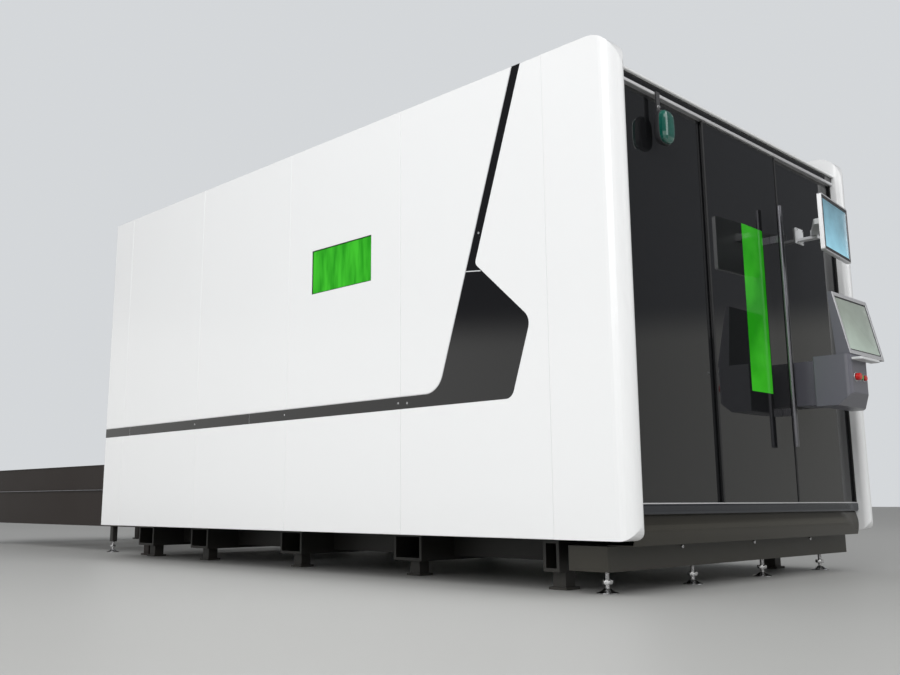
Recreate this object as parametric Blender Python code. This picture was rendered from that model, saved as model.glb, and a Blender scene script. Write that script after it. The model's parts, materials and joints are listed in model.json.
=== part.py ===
# Fibre laser cutting machine with a closed housing and a two-level pallet changer.
# Metres, +Z up. X runs across the machine, the operator stands at -Y, the pallets leave at +Y.
import math

import bmesh
import bpy
from mathutils import Matrix, Vector

# Overall sizes
width = 2.48
height = 2.45
housing_length = 4.481
changer_length = 3.255

# Fits
gap = 0.0003
overrun = 0.02
weld = 0.005
arc_steps = 6

# Side walls: pans on a tube frame, with a rounded hollow nose in front
wall_depth = 0.11
wall_bottom = 0.227
skin = 0.005
pan_depth = 0.05
pan_lip = 0.03
pan_edge = 0.002
seam = 0.0006
nose_length = 0.394
bay_length = 0.9575
bay_count = 4
nose_outer_radius = 0.075
nose_inner_radius = 0.035
nose_top_radius = 0.14
nose_bottom_radius = 0.065
frame_bottom = 0.235
frame_tube = 0.05
frame_drop = 0.095

# Side window, measured back from the nose and up from the floor
window_start = 1.581
window_length = 0.51
window_bottom = 1.555
window_height = 0.255
window_lap = 0.02
window_sheet = 0.006

# Black inlay: a low stripe, a shield and a leaning band
inlay_depth = 0.0025
stripe_bottom = 0.848
stripe_height = 0.064
band_lean_share = 0.33
band_width = 0.053
band_top_start = 0.573
shield_width = 0.49
shield_shoulder = 1.205
shield_neck = 1.515
stripe_fillet = 0.12
shield_foot_radius = 0.05
shield_shoulder_radius = 0.07
shield_neck_radius = 0.03

# Base frame
tube_wall = 0.01
front_beam_setback = 0.166
front_beam_depth = 0.2
front_beam_inset = 0.06
front_beam_bottom = 0.098
front_beam_top = 0.203
narrow_tube_centre = 0.53
narrow_tube_width = 0.09
narrow_tube_inset = 0.15
cross_tube_first = 1.61
cross_tube_pitch = 1.02
cross_tube_count = 3
cross_tube_last = 4.36
cross_tube_width = 0.21
cross_tube_inset = 0.3
cross_tube_bottom = 0.08
cross_tube_top = 0.22
channel_inset = 0.55
channel_width = 0.08
channel_bottom = 0.1
channel_top = 0.2
leg_size = 0.07
leg_plate_size = 0.1
leg_plate_height = 0.012
leg_end_distance = 0.09

# Levelling feet
foot_disc_radius = 0.048
foot_disc_height = 0.01
foot_crown_radius = 0.016
foot_crown_height = 0.012
foot_stud_radius = 0.01
foot_nut_radius = 0.024
foot_nut_height = 0.018
foot_end_distance = 0.135
foot_count = 4

# Front: fixed glass, sliding door, header, sill and apron
door_setback = 0.06
glass_sheet = 0.008
door_clearance = 0.005
sill_top = 0.38
sill_bottom = 0.33
sill_depth = 0.1
sill_setback = 0.055
sill_nose_radius = 0.012
header_drop = 0.125
header_height = 0.045
header_setback = 0.05
header_sheet = 0.004
header_lap = 0.02
trim_height = 0.014
trim_depth = 0.015
trim_radius = 0.006
door_rail_height = 0.018
door_rail_depth = 0.06
door_rail_setback = 0.045
door_left = 0.85
door_right = 1.64
fixed_lap = 0.02
door_window_left = 1.205
door_window_width = 0.225
door_window_bottom = 0.93
door_window_height = 0.87
handle_centre = 1.525
handle_width = 0.03
handle_depth = 0.026
handle_radius = 0.01
handle_bottom = 0.66
handle_top = 1.945
handle_standoff = 0.046
handle_foot_height = 0.04
handle_foot_inset = 0.16
apron_sheet = 0.004
apron_bulge = 0.012
apron_top_setback = 0.075
apron_foot_setback = 0.07
apron_flange_lap = 0.03
apron_steps = 12

# Signal lamp and its bracket
lamp_centre_across = 0.425
lamp_centre_height = 2.095
lamp_width = 0.105
lamp_height = 0.16
lamp_depth = 0.06
lamp_roundness = 3.2
lamp_rows = 12
lamp_columns = 20
lamp_bracket_width = 0.03
lamp_bracket_sheet = 0.006
lamp_bracket_drop = 0.2

# Operator console
neck_left = 1.72
neck_width = 0.19
neck_bottom = 0.885
neck_height = 0.235
cabinet_left = 1.53
cabinet_width = 0.42
cabinet_front_width = 0.2
cabinet_side_depth = 0.07
cabinet_back = 0.114
cabinet_depth = 0.19
cabinet_bottom = 0.86
cabinet_height = 0.255
cabinet_chamfer_height = 0.06
cabinet_chamfer_depth = 0.075
cabinet_corner = 0.028
cabinet_edge = 0.006
screen_box_left = 1.54
screen_box_width = 0.44
screen_box_foot_depth = 0.07
screen_box_head_depth = 0.022
screen_box_height = 0.33
screen_box_lean = 0.07
screen_bezel = 0.022
screen_recess = 0.004
tray_left = 1.55
tray_width = 0.24
tray_depth = 0.05
tray_sheet = 0.012
tray_drop = 0.012
tray_radius = 0.015
button_height = 1.0
button_stem_radius = 0.011
button_bore_depth = 0.03
button_travel = 0.005
cap_crown_share = 0.8
cap_side_share = 0.75
estop_across = 1.585
estop_radius = 0.018
estop_cap = 0.022
start_across = 1.637
stop_across = 1.683
push_radius = 0.014
push_cap = 0.01

# Upper monitor and its arm
bracket_across = 1.902
bracket_height = 1.86
bracket_size = 0.09
bracket_sheet = 0.008
hub_radius = 0.022
hub_reach = 0.085
pin_radius = 0.009
pin_length = 0.1
arm_height = 0.03
arm_width = 0.036
arm_elbow = 0.03
monitor_across = 1.686
monitor_reach = 0.23
monitor_yaw = math.radians(5.5)
monitor_width = 0.42
monitor_height = 0.305
monitor_bottom = 1.651
monitor_depth = 0.022
monitor_frame = 0.018
monitor_corner = 0.01
tilt_pin_radius = 0.01
pivot_clearance = 0.0006
pivot_steps = 24
tilt_ear_sheet = 0.008

# Roof and rear wall
roof_sheet = 0.04
roof_bay_count = 3
rear_wall_sheet = 0.03
passage_half_width = 0.86
passage_bottom = 0.47
passage_height = 0.43

# Machine bed
bed_start = 0.46
bed_length = 3.84
bed_outer = 0.34
bed_width = 0.1
bed_top = 0.86
bed_wall = 0.012
bed_window_count = 5
bed_window_length = 0.42
bed_window_height = 0.16
bed_window_bottom = 0.28
bed_window_corner = 0.064
bed_beam_depth = 0.16
bed_beam_height = 0.2
ledge_reach = 0.04
ledge_sheet = 0.022
lower_level = 0.53
level_pitch = 0.16

# Guide rails and racks of the gantry
guide_base_width = 0.09
guide_base_height = 0.01
guide_width = 0.034
guide_height = 0.03
guide_waist = 0.006
guide_shoulder_share = 0.3
guide_waist_share = 0.4
rack_width = 0.024
rack_height = 0.026
rack_space = 0.012
guide_end_margin = 0.04

# Gantry, carriage and cutting head
gantry_start = 0.82
saddle_length = 0.36
saddle_width = 0.16
saddle_height = 0.1
saddle_side = 0.02
beam_depth = 0.18
beam_height = 0.22
beam_wall = 0.012
beam_overhang = 0.02
beam_rail_width = 0.02
beam_rail_height = 0.024
beam_rail_inset = 0.03
motor_size = 0.085
motor_length = 0.14
motor_depth_share = 0.85
motor_corner = 0.01
carriage_width = 0.26
carriage_sheet = 0.03
carriage_drop = 0.05
carriage_rise = 0.08
carriage_cover_share = 0.8
slide_width = 0.13
slide_depth = 0.06
slide_height = 0.3
slide_bottom = 1.03
groove_depth = 0.008
groove_edge_share = 0.35
head_radius = 0.042
head_neck_radius = 0.026
head_offset = 0.055
head_shoulder_share = 0.3
head_top_share = 1.05
head_sleeve_radius = 0.034
head_taper = 0.021
head_mount_half = 0.038
nozzle_tip = 0.85
nozzle_tip_radius = 0.004
nozzle_radius = 0.016
nozzle_length = 0.035

# Pallets
pallet_length = 3.05
pallet_clearance = 0.025
pallet_bar = 0.04
pallet_bar_height = 0.06
pallet_height = 0.1
pallet_start = 0.8
pallet_stroke = 3.78
slat_count = 18
slat_sheet = 0.006
slat_teeth = 10
slat_tooth = 0.016
slat_foot = 0.012

# Pallet changer behind the housing
changer_inset = 0.4
skirt_bottom = 0.2
skirt_top = 0.67
skirt_sheet = 0.006
skirt_flange = 0.08
skirt_fold = 0.485
skirt_step = 0.004
changer_rail_width = 0.025
changer_tube_width = 0.08
changer_tube_height = 0.08
changer_tube_count = 4
changer_end_margin = 0.3
changer_leg_inset = 0.06
changer_foot_setback = 0.64
drive_length = 0.24
drive_radius = 0.065
drive_gearbox = 0.12
drive_axis_share = 0.75
drive_cap_radius = 0.052
drive_cap_length = 0.024

# Places worked out from the sizes above
frame_top = height - frame_drop
header_top = height - header_drop
header_bottom = header_top - header_height
pallet_width = width - 2 * (bed_outer + bed_width + pallet_clearance)
console_reach = cabinet_back + cabinet_depth + gap + tray_depth
total_length = console_reach + housing_length + changer_length
nose = console_reach - total_length / 2
tail = nose + housing_length
frame_depth = wall_depth - skin - pan_depth - 2 * gap
bed_floor = cross_tube_top + gap
upper_level = lower_level + level_pitch
door_front = nose + door_setback
fixed_front = door_front + glass_sheet + door_clearance
opening_half = width / 2 - wall_depth - gap
rail_bottom = header_bottom - gap - door_rail_height
cabinet_rear = nose - cabinet_back
cabinet_front = cabinet_rear - cabinet_depth
cabinet_top = cabinet_bottom + cabinet_height
gantry_middle = nose + gantry_start
guide_top = bed_top + gap + guide_base_height + guide_height
saddle_top = guide_top + gap + saddle_height
beam_bottom = saddle_top + gap
beam_front = gantry_middle - beam_depth / 2


def across(distance):
    """X of a place measured inwards from the left wall's outer face."""
    return distance - width / 2


def wall_x(side, depth):
    """X at a depth inside the outer face of the left (-1) or right (+1) wall."""
    return side * (width / 2 - depth)


# Outlines
def rectangle(u0, u1, v0, v1):
    return [(u0, v0), (u1, v0), (u1, v1), (u0, v1)]


def rounded(corners, steps=arc_steps):
    """Closed outline whose corners (u, v, radius) are turned into arcs."""
    points = []
    count = len(corners)
    for index, (u, v, radius) in enumerate(corners):
        here = Vector((u, v))
        if radius <= 0:
            points.append((u, v))
            continue
        before = (Vector(corners[index - 1][:2]) - here).normalized()
        after = (Vector(corners[(index + 1) % count][:2]) - here).normalized()
        half = before.angle(after) / 2
        centre = here + (before + after).normalized() * radius / math.sin(half)
        start = here + before * radius / math.tan(half) - centre
        turn = math.pi - 2 * half
        if before.x * after.y - before.y * after.x > 0:
            turn = -turn
        for step in range(steps + 1):
            point = centre + Matrix.Rotation(turn * step / steps, 2) @ start
            points.append((point.x, point.y))
    return points


def rounded_rectangle(u0, u1, v0, v1, radius, steps=arc_steps):
    return rounded([(u, v, radius) for u, v in rectangle(u0, u1, v0, v1)], steps)


def shrunk(corners, inset):
    """Corners (u, v, radius) of an anticlockwise outline, each side moved inwards."""
    moved = []
    count = len(corners)
    for index, (u, v, radius) in enumerate(corners):
        here = Vector((u, v))
        into = (here - Vector(corners[index - 1][:2])).normalized()
        out = (Vector(corners[(index + 1) % count][:2]) - here).normalized()
        normal_in = Vector((-into.y, into.x))
        normal_out = Vector((-out.y, out.x))
        bisector = (normal_in + normal_out).normalized()
        here += bisector * inset / bisector.dot(normal_in)
        moved.append((here.x, here.y, radius))
    return moved


# Solids
def place(axis, u, v, along):
    """World point of an outline point (u, v) at a distance along the axis."""
    if axis == "X":
        return Vector((along, u, v))
    if axis == "Y":
        return Vector((u, along, v))
    return Vector((u, v, along))


def add_prism(mesh, outline, axis, low, high):
    """Extrude an outline between two planes."""
    ends = []
    for along in (low, high):
        ends.append([mesh.verts.new(place(axis, u, v, along)) for u, v in outline])
    count = len(outline)
    for index in range(count):
        after = (index + 1) % count
        mesh.faces.new((ends[0][index], ends[0][after], ends[1][after], ends[1][index]))
    mesh.faces.new(ends[0])
    mesh.faces.new(ends[1])


def add_box(mesh, x0, x1, y0, y1, z0, z1):
    add_prism(mesh, rectangle(x0, x1, y0, y1), "Z", z0, z1)


def add_tube(mesh, outer, inner, axis, low, high):
    """Open-ended tube between two outlines that have as many points."""
    rings = []
    for along in (low, high):
        rings.append([mesh.verts.new(place(axis, u, v, along)) for u, v in outer])
        rings.append([mesh.verts.new(place(axis, u, v, along)) for u, v in inner])
    count = len(outer)
    for index in range(count):
        after = (index + 1) % count
        for one, two in ((0, 1), (1, 3), (3, 2), (2, 0)):
            mesh.faces.new((rings[one][index], rings[one][after], rings[two][after], rings[two][index]))


def add_rectangular_tube(mesh, axis, low, high, u0, u1, v0, v1, wall):
    inner = rectangle(u0 + wall, u1 - wall, v0 + wall, v1 - wall)
    add_tube(mesh, rectangle(u0, u1, v0, v1), inner, axis, low, high)


def add_turned(mesh, profile, centre, axis, steps):
    """Turn a profile of (radius, distance) round an axis through the centre."""
    rings = []
    for radius, along in profile:
        ring = []
        for step in range(steps):
            angle = 2 * math.pi * step / steps
            point = place(axis, radius * math.cos(angle), radius * math.sin(angle), along)
            ring.append(mesh.verts.new(point + Vector(centre)))
        rings.append(ring)
    for one, two in zip(rings, rings[1:]):
        for index in range(steps):
            after = (index + 1) % steps
            mesh.faces.new((one[index], one[after], two[after], two[index]))
    mesh.faces.new(rings[0])
    mesh.faces.new(rings[-1])


def add_stepped_post(mesh, x, y, rings):
    """Square post through (half size, height) rings."""
    levels = []
    for half, z in rings:
        outline = rectangle(x - half, x + half, y - half, y + half)
        levels.append([mesh.verts.new(Vector((u, v, z))) for u, v in outline])
    for one, two in zip(levels, levels[1:]):
        for index in range(4):
            after = (index + 1) % 4
            mesh.faces.new((one[index], one[after], two[after], two[index]))
    mesh.faces.new(levels[0])
    mesh.faces.new(levels[-1])


def new_object(name, mesh, material=None):
    """Turn a finished bmesh into a named object."""
    bmesh.ops.recalc_face_normals(mesh, faces=mesh.faces)
    data = bpy.data.meshes.new(name)
    mesh.to_mesh(data)
    mesh.free()
    obj = bpy.data.objects.new(name, data)
    bpy.context.collection.objects.link(obj)
    if material:
        data.materials.append(material)
    return obj


def prism_object(name, outline, axis, low, high, material=None):
    mesh = bmesh.new()
    add_prism(mesh, outline, axis, low, high)
    return new_object(name, mesh, material)


def box_object(name, x0, x1, y0, y1, z0, z1, material=None):
    mesh = bmesh.new()
    add_box(mesh, x0, x1, y0, y1, z0, z1)
    return new_object(name, mesh, material)


def combine(target, tool, operation):
    """Apply an exact Boolean and drop the tool."""
    modifier = target.modifiers.new(operation.lower(), "BOOLEAN")
    modifier.operation = operation
    modifier.solver = "EXACT"
    modifier.object = tool
    graph = bpy.context.evaluated_depsgraph_get()
    result = bpy.data.meshes.new_from_object(target.evaluated_get(graph))
    target.modifiers.clear()
    target.data = result
    bpy.data.objects.remove(tool)


def cut(target, tool):
    combine(target, tool, "DIFFERENCE")


def join(target, tool):
    combine(target, tool, "UNION")


def smooth(obj, angle=math.radians(35)):
    """Shade the round faces smooth and keep the folds sharp."""
    obj.data.shade_smooth()
    obj.data.set_sharp_from_angle(angle=angle)


# Materials
def make_material(name, colour, roughness, metallic=0.0, transmission=0.0):
    material = bpy.data.materials.new(name)
    material.use_nodes = True
    shader = material.node_tree.nodes["Principled BSDF"]
    shader.inputs["Base Color"].default_value = (*colour, 1.0)
    shader.inputs["Roughness"].default_value = roughness
    shader.inputs["Metallic"].default_value = metallic
    shader.inputs["Transmission Weight"].default_value = transmission
    material.diffuse_color = (*colour, 1.0)
    return material


def make_materials():
    return {
        "white": make_material("white_enamel", (0.87, 0.88, 0.88), 0.32),
        "black": make_material("black_gloss", (0.008, 0.008, 0.009), 0.12),
        "frame": make_material("frame_black", (0.02, 0.02, 0.022), 0.55),
        "brown": make_material("base_bronze", (0.035, 0.03, 0.025), 0.3, 0.4),
        "umber": make_material("changer_paint", (0.045, 0.034, 0.028), 0.55),
        "glass": make_material("tinted_glass", (0.03, 0.032, 0.034), 0.06, 0.0, 0.2),
        "green": make_material("green_acrylic", (0.03, 0.38, 0.01), 0.12, 0.0, 0.3),
        "silver": make_material("brushed_aluminium", (0.55, 0.55, 0.57), 0.3, 0.9),
        "chrome": make_material("chromed_steel", (0.7, 0.7, 0.7), 0.15, 1.0),
        "grey": make_material("console_grey", (0.15, 0.15, 0.17), 0.4),
        "light": make_material("light_plastic", (0.7, 0.71, 0.72), 0.4),
        "teal": make_material("teal_lens", (0.01, 0.2, 0.13), 0.15, 0.0, 0.1),
        "steel": make_material("machined_steel", (0.35, 0.35, 0.36), 0.35, 0.9),
        "rust": make_material("slat_steel", (0.2, 0.18, 0.16), 0.6, 0.8),
        "blue": make_material("bed_grey", (0.25, 0.27, 0.29), 0.5),
        "red": make_material("red_plastic", (0.6, 0.02, 0.02), 0.3),
        "start": make_material("green_plastic", (0.02, 0.35, 0.06), 0.3),
        "dark": make_material("dark_plastic", (0.03, 0.03, 0.033), 0.4),
    }


# Side walls
def make_pan(name, side, start, end, material):
    """Folded pan, open inwards, with its outer edges eased."""
    outer = rectangle(start + seam / 2, end - seam / 2, wall_bottom, height)
    inner = rectangle(start + seam / 2 + pan_lip, end - seam / 2 - pan_lip,
                      wall_bottom + pan_lip, height - pan_lip)
    face = wall_x(side, 0)
    floor = wall_x(side, skin)
    back = wall_x(side, pan_depth)
    pocket_outer = rectangle(start + seam / 2 + skin, end - seam / 2 - skin,
                             wall_bottom + skin, height - skin)
    lip = wall_x(side, pan_depth - skin)
    mesh = bmesh.new()
    rings = []
    for outline, x in ((outer, face), (outer, back), (inner, back), (inner, lip),
                       (pocket_outer, lip), (pocket_outer, floor)):
        rings.append([mesh.verts.new((x, u, v)) for u, v in outline])
    for one, two in zip(rings, rings[1:]):
        for index in range(4):
            after = (index + 1) % 4
            mesh.faces.new((one[index], one[after], two[after], two[index]))
    front = mesh.faces.new(rings[0])
    mesh.faces.new(rings[-1])
    bmesh.ops.recalc_face_normals(mesh, faces=mesh.faces)
    bmesh.ops.bevel(mesh, geom=list(front.edges), offset=pan_edge, segments=1, affect="EDGES")
    return new_object(name, mesh, material)


def nose_outline(side, inset, back):
    """Plan of the rounded nose, drawn a sheet's thickness inside itself for the hollow."""
    outer = wall_x(side, inset)
    inner = wall_x(side, wall_depth - inset)
    front = nose + inset
    corners = [(outer, back, 0), (outer, front, nose_outer_radius - inset),
               (inner, front, nose_inner_radius - inset), (inner, back, 0)]
    return rounded(corners, arc_steps + 2)


def nose_side(inset, back):
    """Side view of the nose with its two front corners rounded."""
    corners = [(nose + inset, wall_bottom + inset, nose_bottom_radius - inset),
               (back, wall_bottom + inset, 0), (back, height - inset, 0),
               (nose + inset, height - inset, nose_top_radius - inset)]
    return rounded(corners, arc_steps + 2)


def make_nose(name, side, material):
    """Hollow nose of the wall, open towards the first pan."""
    back = nose + nose_length - seam / 2
    shell = prism_object(name, nose_outline(side, 0, back), "Z",
                         wall_bottom - overrun, height + overrun, material)
    span = sorted((wall_x(side, -overrun), wall_x(side, wall_depth + overrun)))
    combine(shell, prism_object("nose_side", nose_side(0, back), "X", *span), "INTERSECT")
    hollow = prism_object("nose_hollow", nose_outline(side, skin, back + overrun), "Z",
                          wall_bottom - overrun, height + overrun)
    combine(hollow, prism_object("hollow_side", nose_side(skin, back + overrun), "X", *span),
            "INTERSECT")
    cut(shell, hollow)
    smooth(shell)
    return shell


def inlay_corners():
    """Corners of the black inlay, anticlockwise with distance from the nose to the right."""
    stripe_top = stripe_bottom + stripe_height

    def rear_edge(z):
        return nose + band_top_start + band_lean_share * (height - z)

    def front_edge(z):
        return rear_edge(z) - shield_width

    def band_edge(z):
        return rear_edge(z) - band_width

    return [
        (front_edge(stripe_bottom), stripe_bottom, shield_foot_radius),
        (tail, stripe_bottom, 0),
        (tail, stripe_top, 0),
        (rear_edge(stripe_top), stripe_top, stripe_fillet),
        (rear_edge(height), height, 0),
        (band_edge(height), height, 0),
        (band_edge(shield_neck), shield_neck, shield_neck_radius),
        (front_edge(shield_shoulder), shield_shoulder, shield_shoulder_radius),
    ]


def cut_inlay_recess(panel):
    """Sink the inlay's seat into a left-hand panel."""
    corners = []
    for u, v, radius in inlay_corners():
        if u >= tail:
            u = tail + overrun
        if v >= height:
            u -= band_lean_share * overrun
            v = height + overrun
        corners.append((u, v, radius))
    tool = prism_object("inlay_recess", rounded(corners), "X",
                        wall_x(-1, -overrun), wall_x(-1, inlay_depth))
    cut(panel, tool)


def make_inlay(material):
    """Gloss black inlay, flush with the left wall."""
    outline = rounded(shrunk(inlay_corners(), gap))
    return prism_object("left_inlay", outline, "X", wall_x(-1, 0), wall_x(-1, inlay_depth - gap),
                        material)


def cut_window_hole(panel):
    start = nose + window_start
    cut(panel, box_object("window_hole", wall_x(-1, -overrun), wall_x(-1, skin + overrun),
                          start, start + window_length,
                          window_bottom, window_bottom + window_height))


def make_left_window(material):
    """Green sheet clamped behind the hole in the left wall."""
    start = nose + window_start - window_lap
    end = nose + window_start + window_length + window_lap
    front = wall_x(-1, skin + gap)
    return prism_object(
        "left_window",
        rounded_rectangle(start, end, window_bottom - window_lap,
                          window_bottom + window_height + window_lap, window_lap / 2, 2),
        "X", front, front + window_sheet, material)


def make_left_wall(materials):
    make_nose("left_panel_1", -1, materials["white"])
    seams = [nose + nose_length + bay_length * index for index in range(bay_count + 1)] + [tail]
    for index, (start, end) in enumerate(zip(seams, seams[1:])):
        panel = make_pan("left_panel_%d" % (index + 2), -1, start, end, materials["white"])
        cut_inlay_recess(panel)
        if start < nose + window_start < end:
            cut_window_hole(panel)
    make_inlay(materials["black"])
    make_left_window(materials["green"])


def make_right_wall(materials):
    make_nose("right_panel_1", 1, materials["white"])
    first = nose + nose_length
    seams = [first, first + bay_length * bay_count / 2, tail]
    for index, (start, end) in enumerate(zip(seams, seams[1:])):
        make_pan("right_panel_%d" % (index + 2), 1, start, end, materials["white"])


def cross_tube_places():
    """Centre, width and end inset of each open-ended tube across the base."""
    places = [(nose + narrow_tube_centre, narrow_tube_width, narrow_tube_inset)]
    for index in range(cross_tube_count):
        centre = nose + cross_tube_first + cross_tube_pitch * index
        places.append((centre, cross_tube_width, cross_tube_inset))
    places.append((nose + cross_tube_last, cross_tube_width, cross_tube_inset))
    return places


def make_housing_frame(name, side, material):
    """Posts, rails and outriggers that carry one wall."""
    face = wall_x(side, pan_depth + gap)
    back = wall_x(side, pan_depth + gap + frame_depth)
    x0, x1 = sorted((face, back))
    end = tail - rear_wall_sheet - gap
    start = nose + nose_length - frame_tube / 2
    frame = bmesh.new()
    add_prism(frame, rectangle(start, end, frame_bottom, frame_top), "X", x0, x1)
    frame = new_object(name, frame, material)
    posts = [nose + nose_length + bay_length * index for index in range(bay_count + 1)]
    holes = bmesh.new()
    for one, two in zip(posts, posts[1:]):
        add_box(holes, x0 - overrun, x1 + overrun, one + frame_tube / 2, two - frame_tube / 2,
                frame_bottom + frame_tube, frame_top - frame_tube)
    add_box(holes, x0 - overrun, x1 + overrun, posts[-1] + frame_tube / 2, end - frame_tube,
            frame_bottom + frame_tube, frame_top - frame_tube)
    cut(frame, new_object("frame_bays", holes))
    outriggers = bmesh.new()
    root = wall_x(side, pan_depth + gap + frame_depth / 2)
    low, high = sorted((root, wall_x(side, bed_outer - gap)))
    half = narrow_tube_width / 2
    for centre, _, _ in cross_tube_places():
        add_box(outriggers, low, high, centre - half, centre + half,
                bed_floor, frame_bottom + frame_tube / 2)
    join(frame, new_object("outriggers", outriggers))
    return frame


# Base frame and feet
def make_base_frame(material):
    """Weldment of open-ended cross tubes, channels and square legs."""
    tubes = bmesh.new()
    half = width / 2
    front = nose + front_beam_setback
    add_rectangular_tube(tubes, "X", front_beam_inset - half, half - front_beam_inset,
                         front, front + front_beam_depth, front_beam_bottom, front_beam_top,
                         tube_wall)
    faces = [front + front_beam_depth]
    for centre, tube_width, inset in cross_tube_places():
        low = centre - tube_width / 2
        high = centre + tube_width / 2
        add_rectangular_tube(tubes, "X", inset - half, half - inset, low, high,
                             cross_tube_bottom, cross_tube_top, tube_wall)
        faces += [low, high]
    frame = new_object("base_frame", tubes, material)
    carriers = bmesh.new()
    for side in (-1, 1):
        outer = wall_x(side, channel_inset)
        inner = wall_x(side, channel_inset + channel_width)
        web = wall_x(side, channel_inset + tube_wall)
        section = [(outer, channel_bottom), (inner, channel_bottom),
                   (inner, channel_bottom + tube_wall), (web, channel_bottom + tube_wall),
                   (web, channel_top - tube_wall), (inner, channel_top - tube_wall),
                   (inner, channel_top), (outer, channel_top)]
        for start, end in zip(faces[0::2], faces[1::2]):
            add_prism(carriers, section, "Y", start - weld, end + weld)
        for centre, _, inset in cross_tube_places():
            add_stepped_post(carriers, wall_x(side, inset + leg_end_distance), centre,
                             [(leg_plate_size / 2, 0), (leg_plate_size / 2, leg_plate_height),
                              (leg_size / 2, leg_plate_height),
                              (leg_size / 2, cross_tube_bottom + weld)])
    join(frame, new_object("channels_and_legs", carriers))
    return frame


def make_levelling_foot(name, x, y, top, material):
    """Chromed foot: disc, crown, stud and two nuts under the beam."""
    low_nut = foot_disc_height + foot_crown_height + foot_nut_height
    profile = [
        (foot_disc_radius, 0),
        (foot_disc_radius, foot_disc_height / 2),
        (foot_crown_radius, foot_disc_height + foot_crown_height),
        (foot_stud_radius, foot_disc_height + foot_crown_height),
        (foot_stud_radius, low_nut),
        (foot_nut_radius, low_nut),
        (foot_nut_radius, low_nut + foot_nut_height),
        (foot_stud_radius, low_nut + foot_nut_height),
        (foot_stud_radius, top - gap),
    ]
    mesh = bmesh.new()
    add_turned(mesh, profile, (x, y, 0), "Z", 12)
    foot = new_object(name, mesh, material)
    smooth(foot)
    return foot


def make_feet(material):
    reach = width / 2 - front_beam_inset - foot_end_distance
    y = nose + front_beam_setback + front_beam_depth / 2
    for index in range(foot_count):
        share = index / (foot_count - 1)
        x = reach * share - reach * (1 - share)
        make_levelling_foot("levelling_foot_%d" % (index + 1), x, y, front_beam_bottom, material)
    for side, name in ((-1, "changer_foot_left"), (1, "changer_foot_right")):
        make_levelling_foot(name, wall_x(side, changer_inset + skirt_flange / 2),
                            tail + changer_foot_setback, skirt_bottom, material)


# Front
def make_header(materials):
    """Folded channel between the noses, turned up at the roof, with its trim and the door's rail."""
    front = nose + header_setback
    back = nose + nose_length
    sheet = header_sheet
    crown = frame_top + header_lap
    section = [(front, header_bottom), (back, header_bottom), (back, header_bottom + sheet),
               (front + sheet, header_bottom + sheet), (front + sheet, header_top - sheet),
               (back, header_top - sheet), (back, crown), (back - sheet, crown),
               (back - sheet, header_top), (front, header_top)]
    prism_object("header", section, "X", -opening_half, opening_half, materials["black"])
    trim = rounded([(front - gap - trim_depth, header_top - trim_height, trim_radius),
                    (front - gap, header_top - trim_height, 0),
                    (front - gap, header_top, 0),
                    (front - gap - trim_depth, header_top, trim_radius)], 3)
    smooth(prism_object("header_trim", trim, "X", -opening_half, opening_half,
                        materials["white"]))
    start = nose + door_rail_setback
    rail = rounded([(start, rail_bottom, trim_radius), (start + door_rail_depth, rail_bottom, 0),
                    (start + door_rail_depth, rail_bottom + door_rail_height, 0),
                    (start, rail_bottom + door_rail_height, trim_radius)], 3)
    smooth(prism_object("door_rail", rail, "X", -opening_half, opening_half,
                        materials["silver"]))


def make_sill(material):
    start = nose + sill_setback
    section = rounded([(start, sill_bottom, sill_nose_radius), (start + sill_depth, sill_bottom, 0),
                       (start + sill_depth, sill_top, 0), (start, sill_top, sill_nose_radius)], 4)
    smooth(prism_object("sill", section, "X", -opening_half, opening_half, material))


def make_apron(material):
    """Bulged sheet under the sill, its foot folded back over the front beam."""
    floor = front_beam_top + gap
    top = Vector((nose + apron_top_setback, sill_bottom - gap))
    foot = Vector((nose + apron_foot_setback, floor))
    chord = foot - top
    outward = Vector((chord.y, -chord.x)).normalized()
    outer = []
    inner = []
    for step in range(apron_steps + 1):
        share = step / apron_steps
        point = top + chord * share + outward * apron_bulge * math.sin(math.pi * share)
        outer.append((point.x, point.y))
        if point.y > floor + apron_sheet:
            inner.append((point.x + apron_sheet, point.y))
    flange = nose + front_beam_setback + apron_flange_lap
    outer += [(flange, floor), (flange, floor + apron_sheet),
              (foot.x + apron_sheet, floor + apron_sheet)]
    smooth(prism_object("apron", outer + inner[::-1], "X", -opening_half, opening_half,
                        material))


def make_fixed_glass(materials):
    low = sill_top + gap
    high = rail_bottom - gap
    box_object("glass_left", -opening_half, across(door_left + fixed_lap),
               fixed_front, fixed_front + glass_sheet, low, high, materials["glass"])
    box_object("glass_right", across(door_right - 2 * fixed_lap), opening_half,
               fixed_front, fixed_front + glass_sheet, low, high, materials["glass"])


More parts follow.
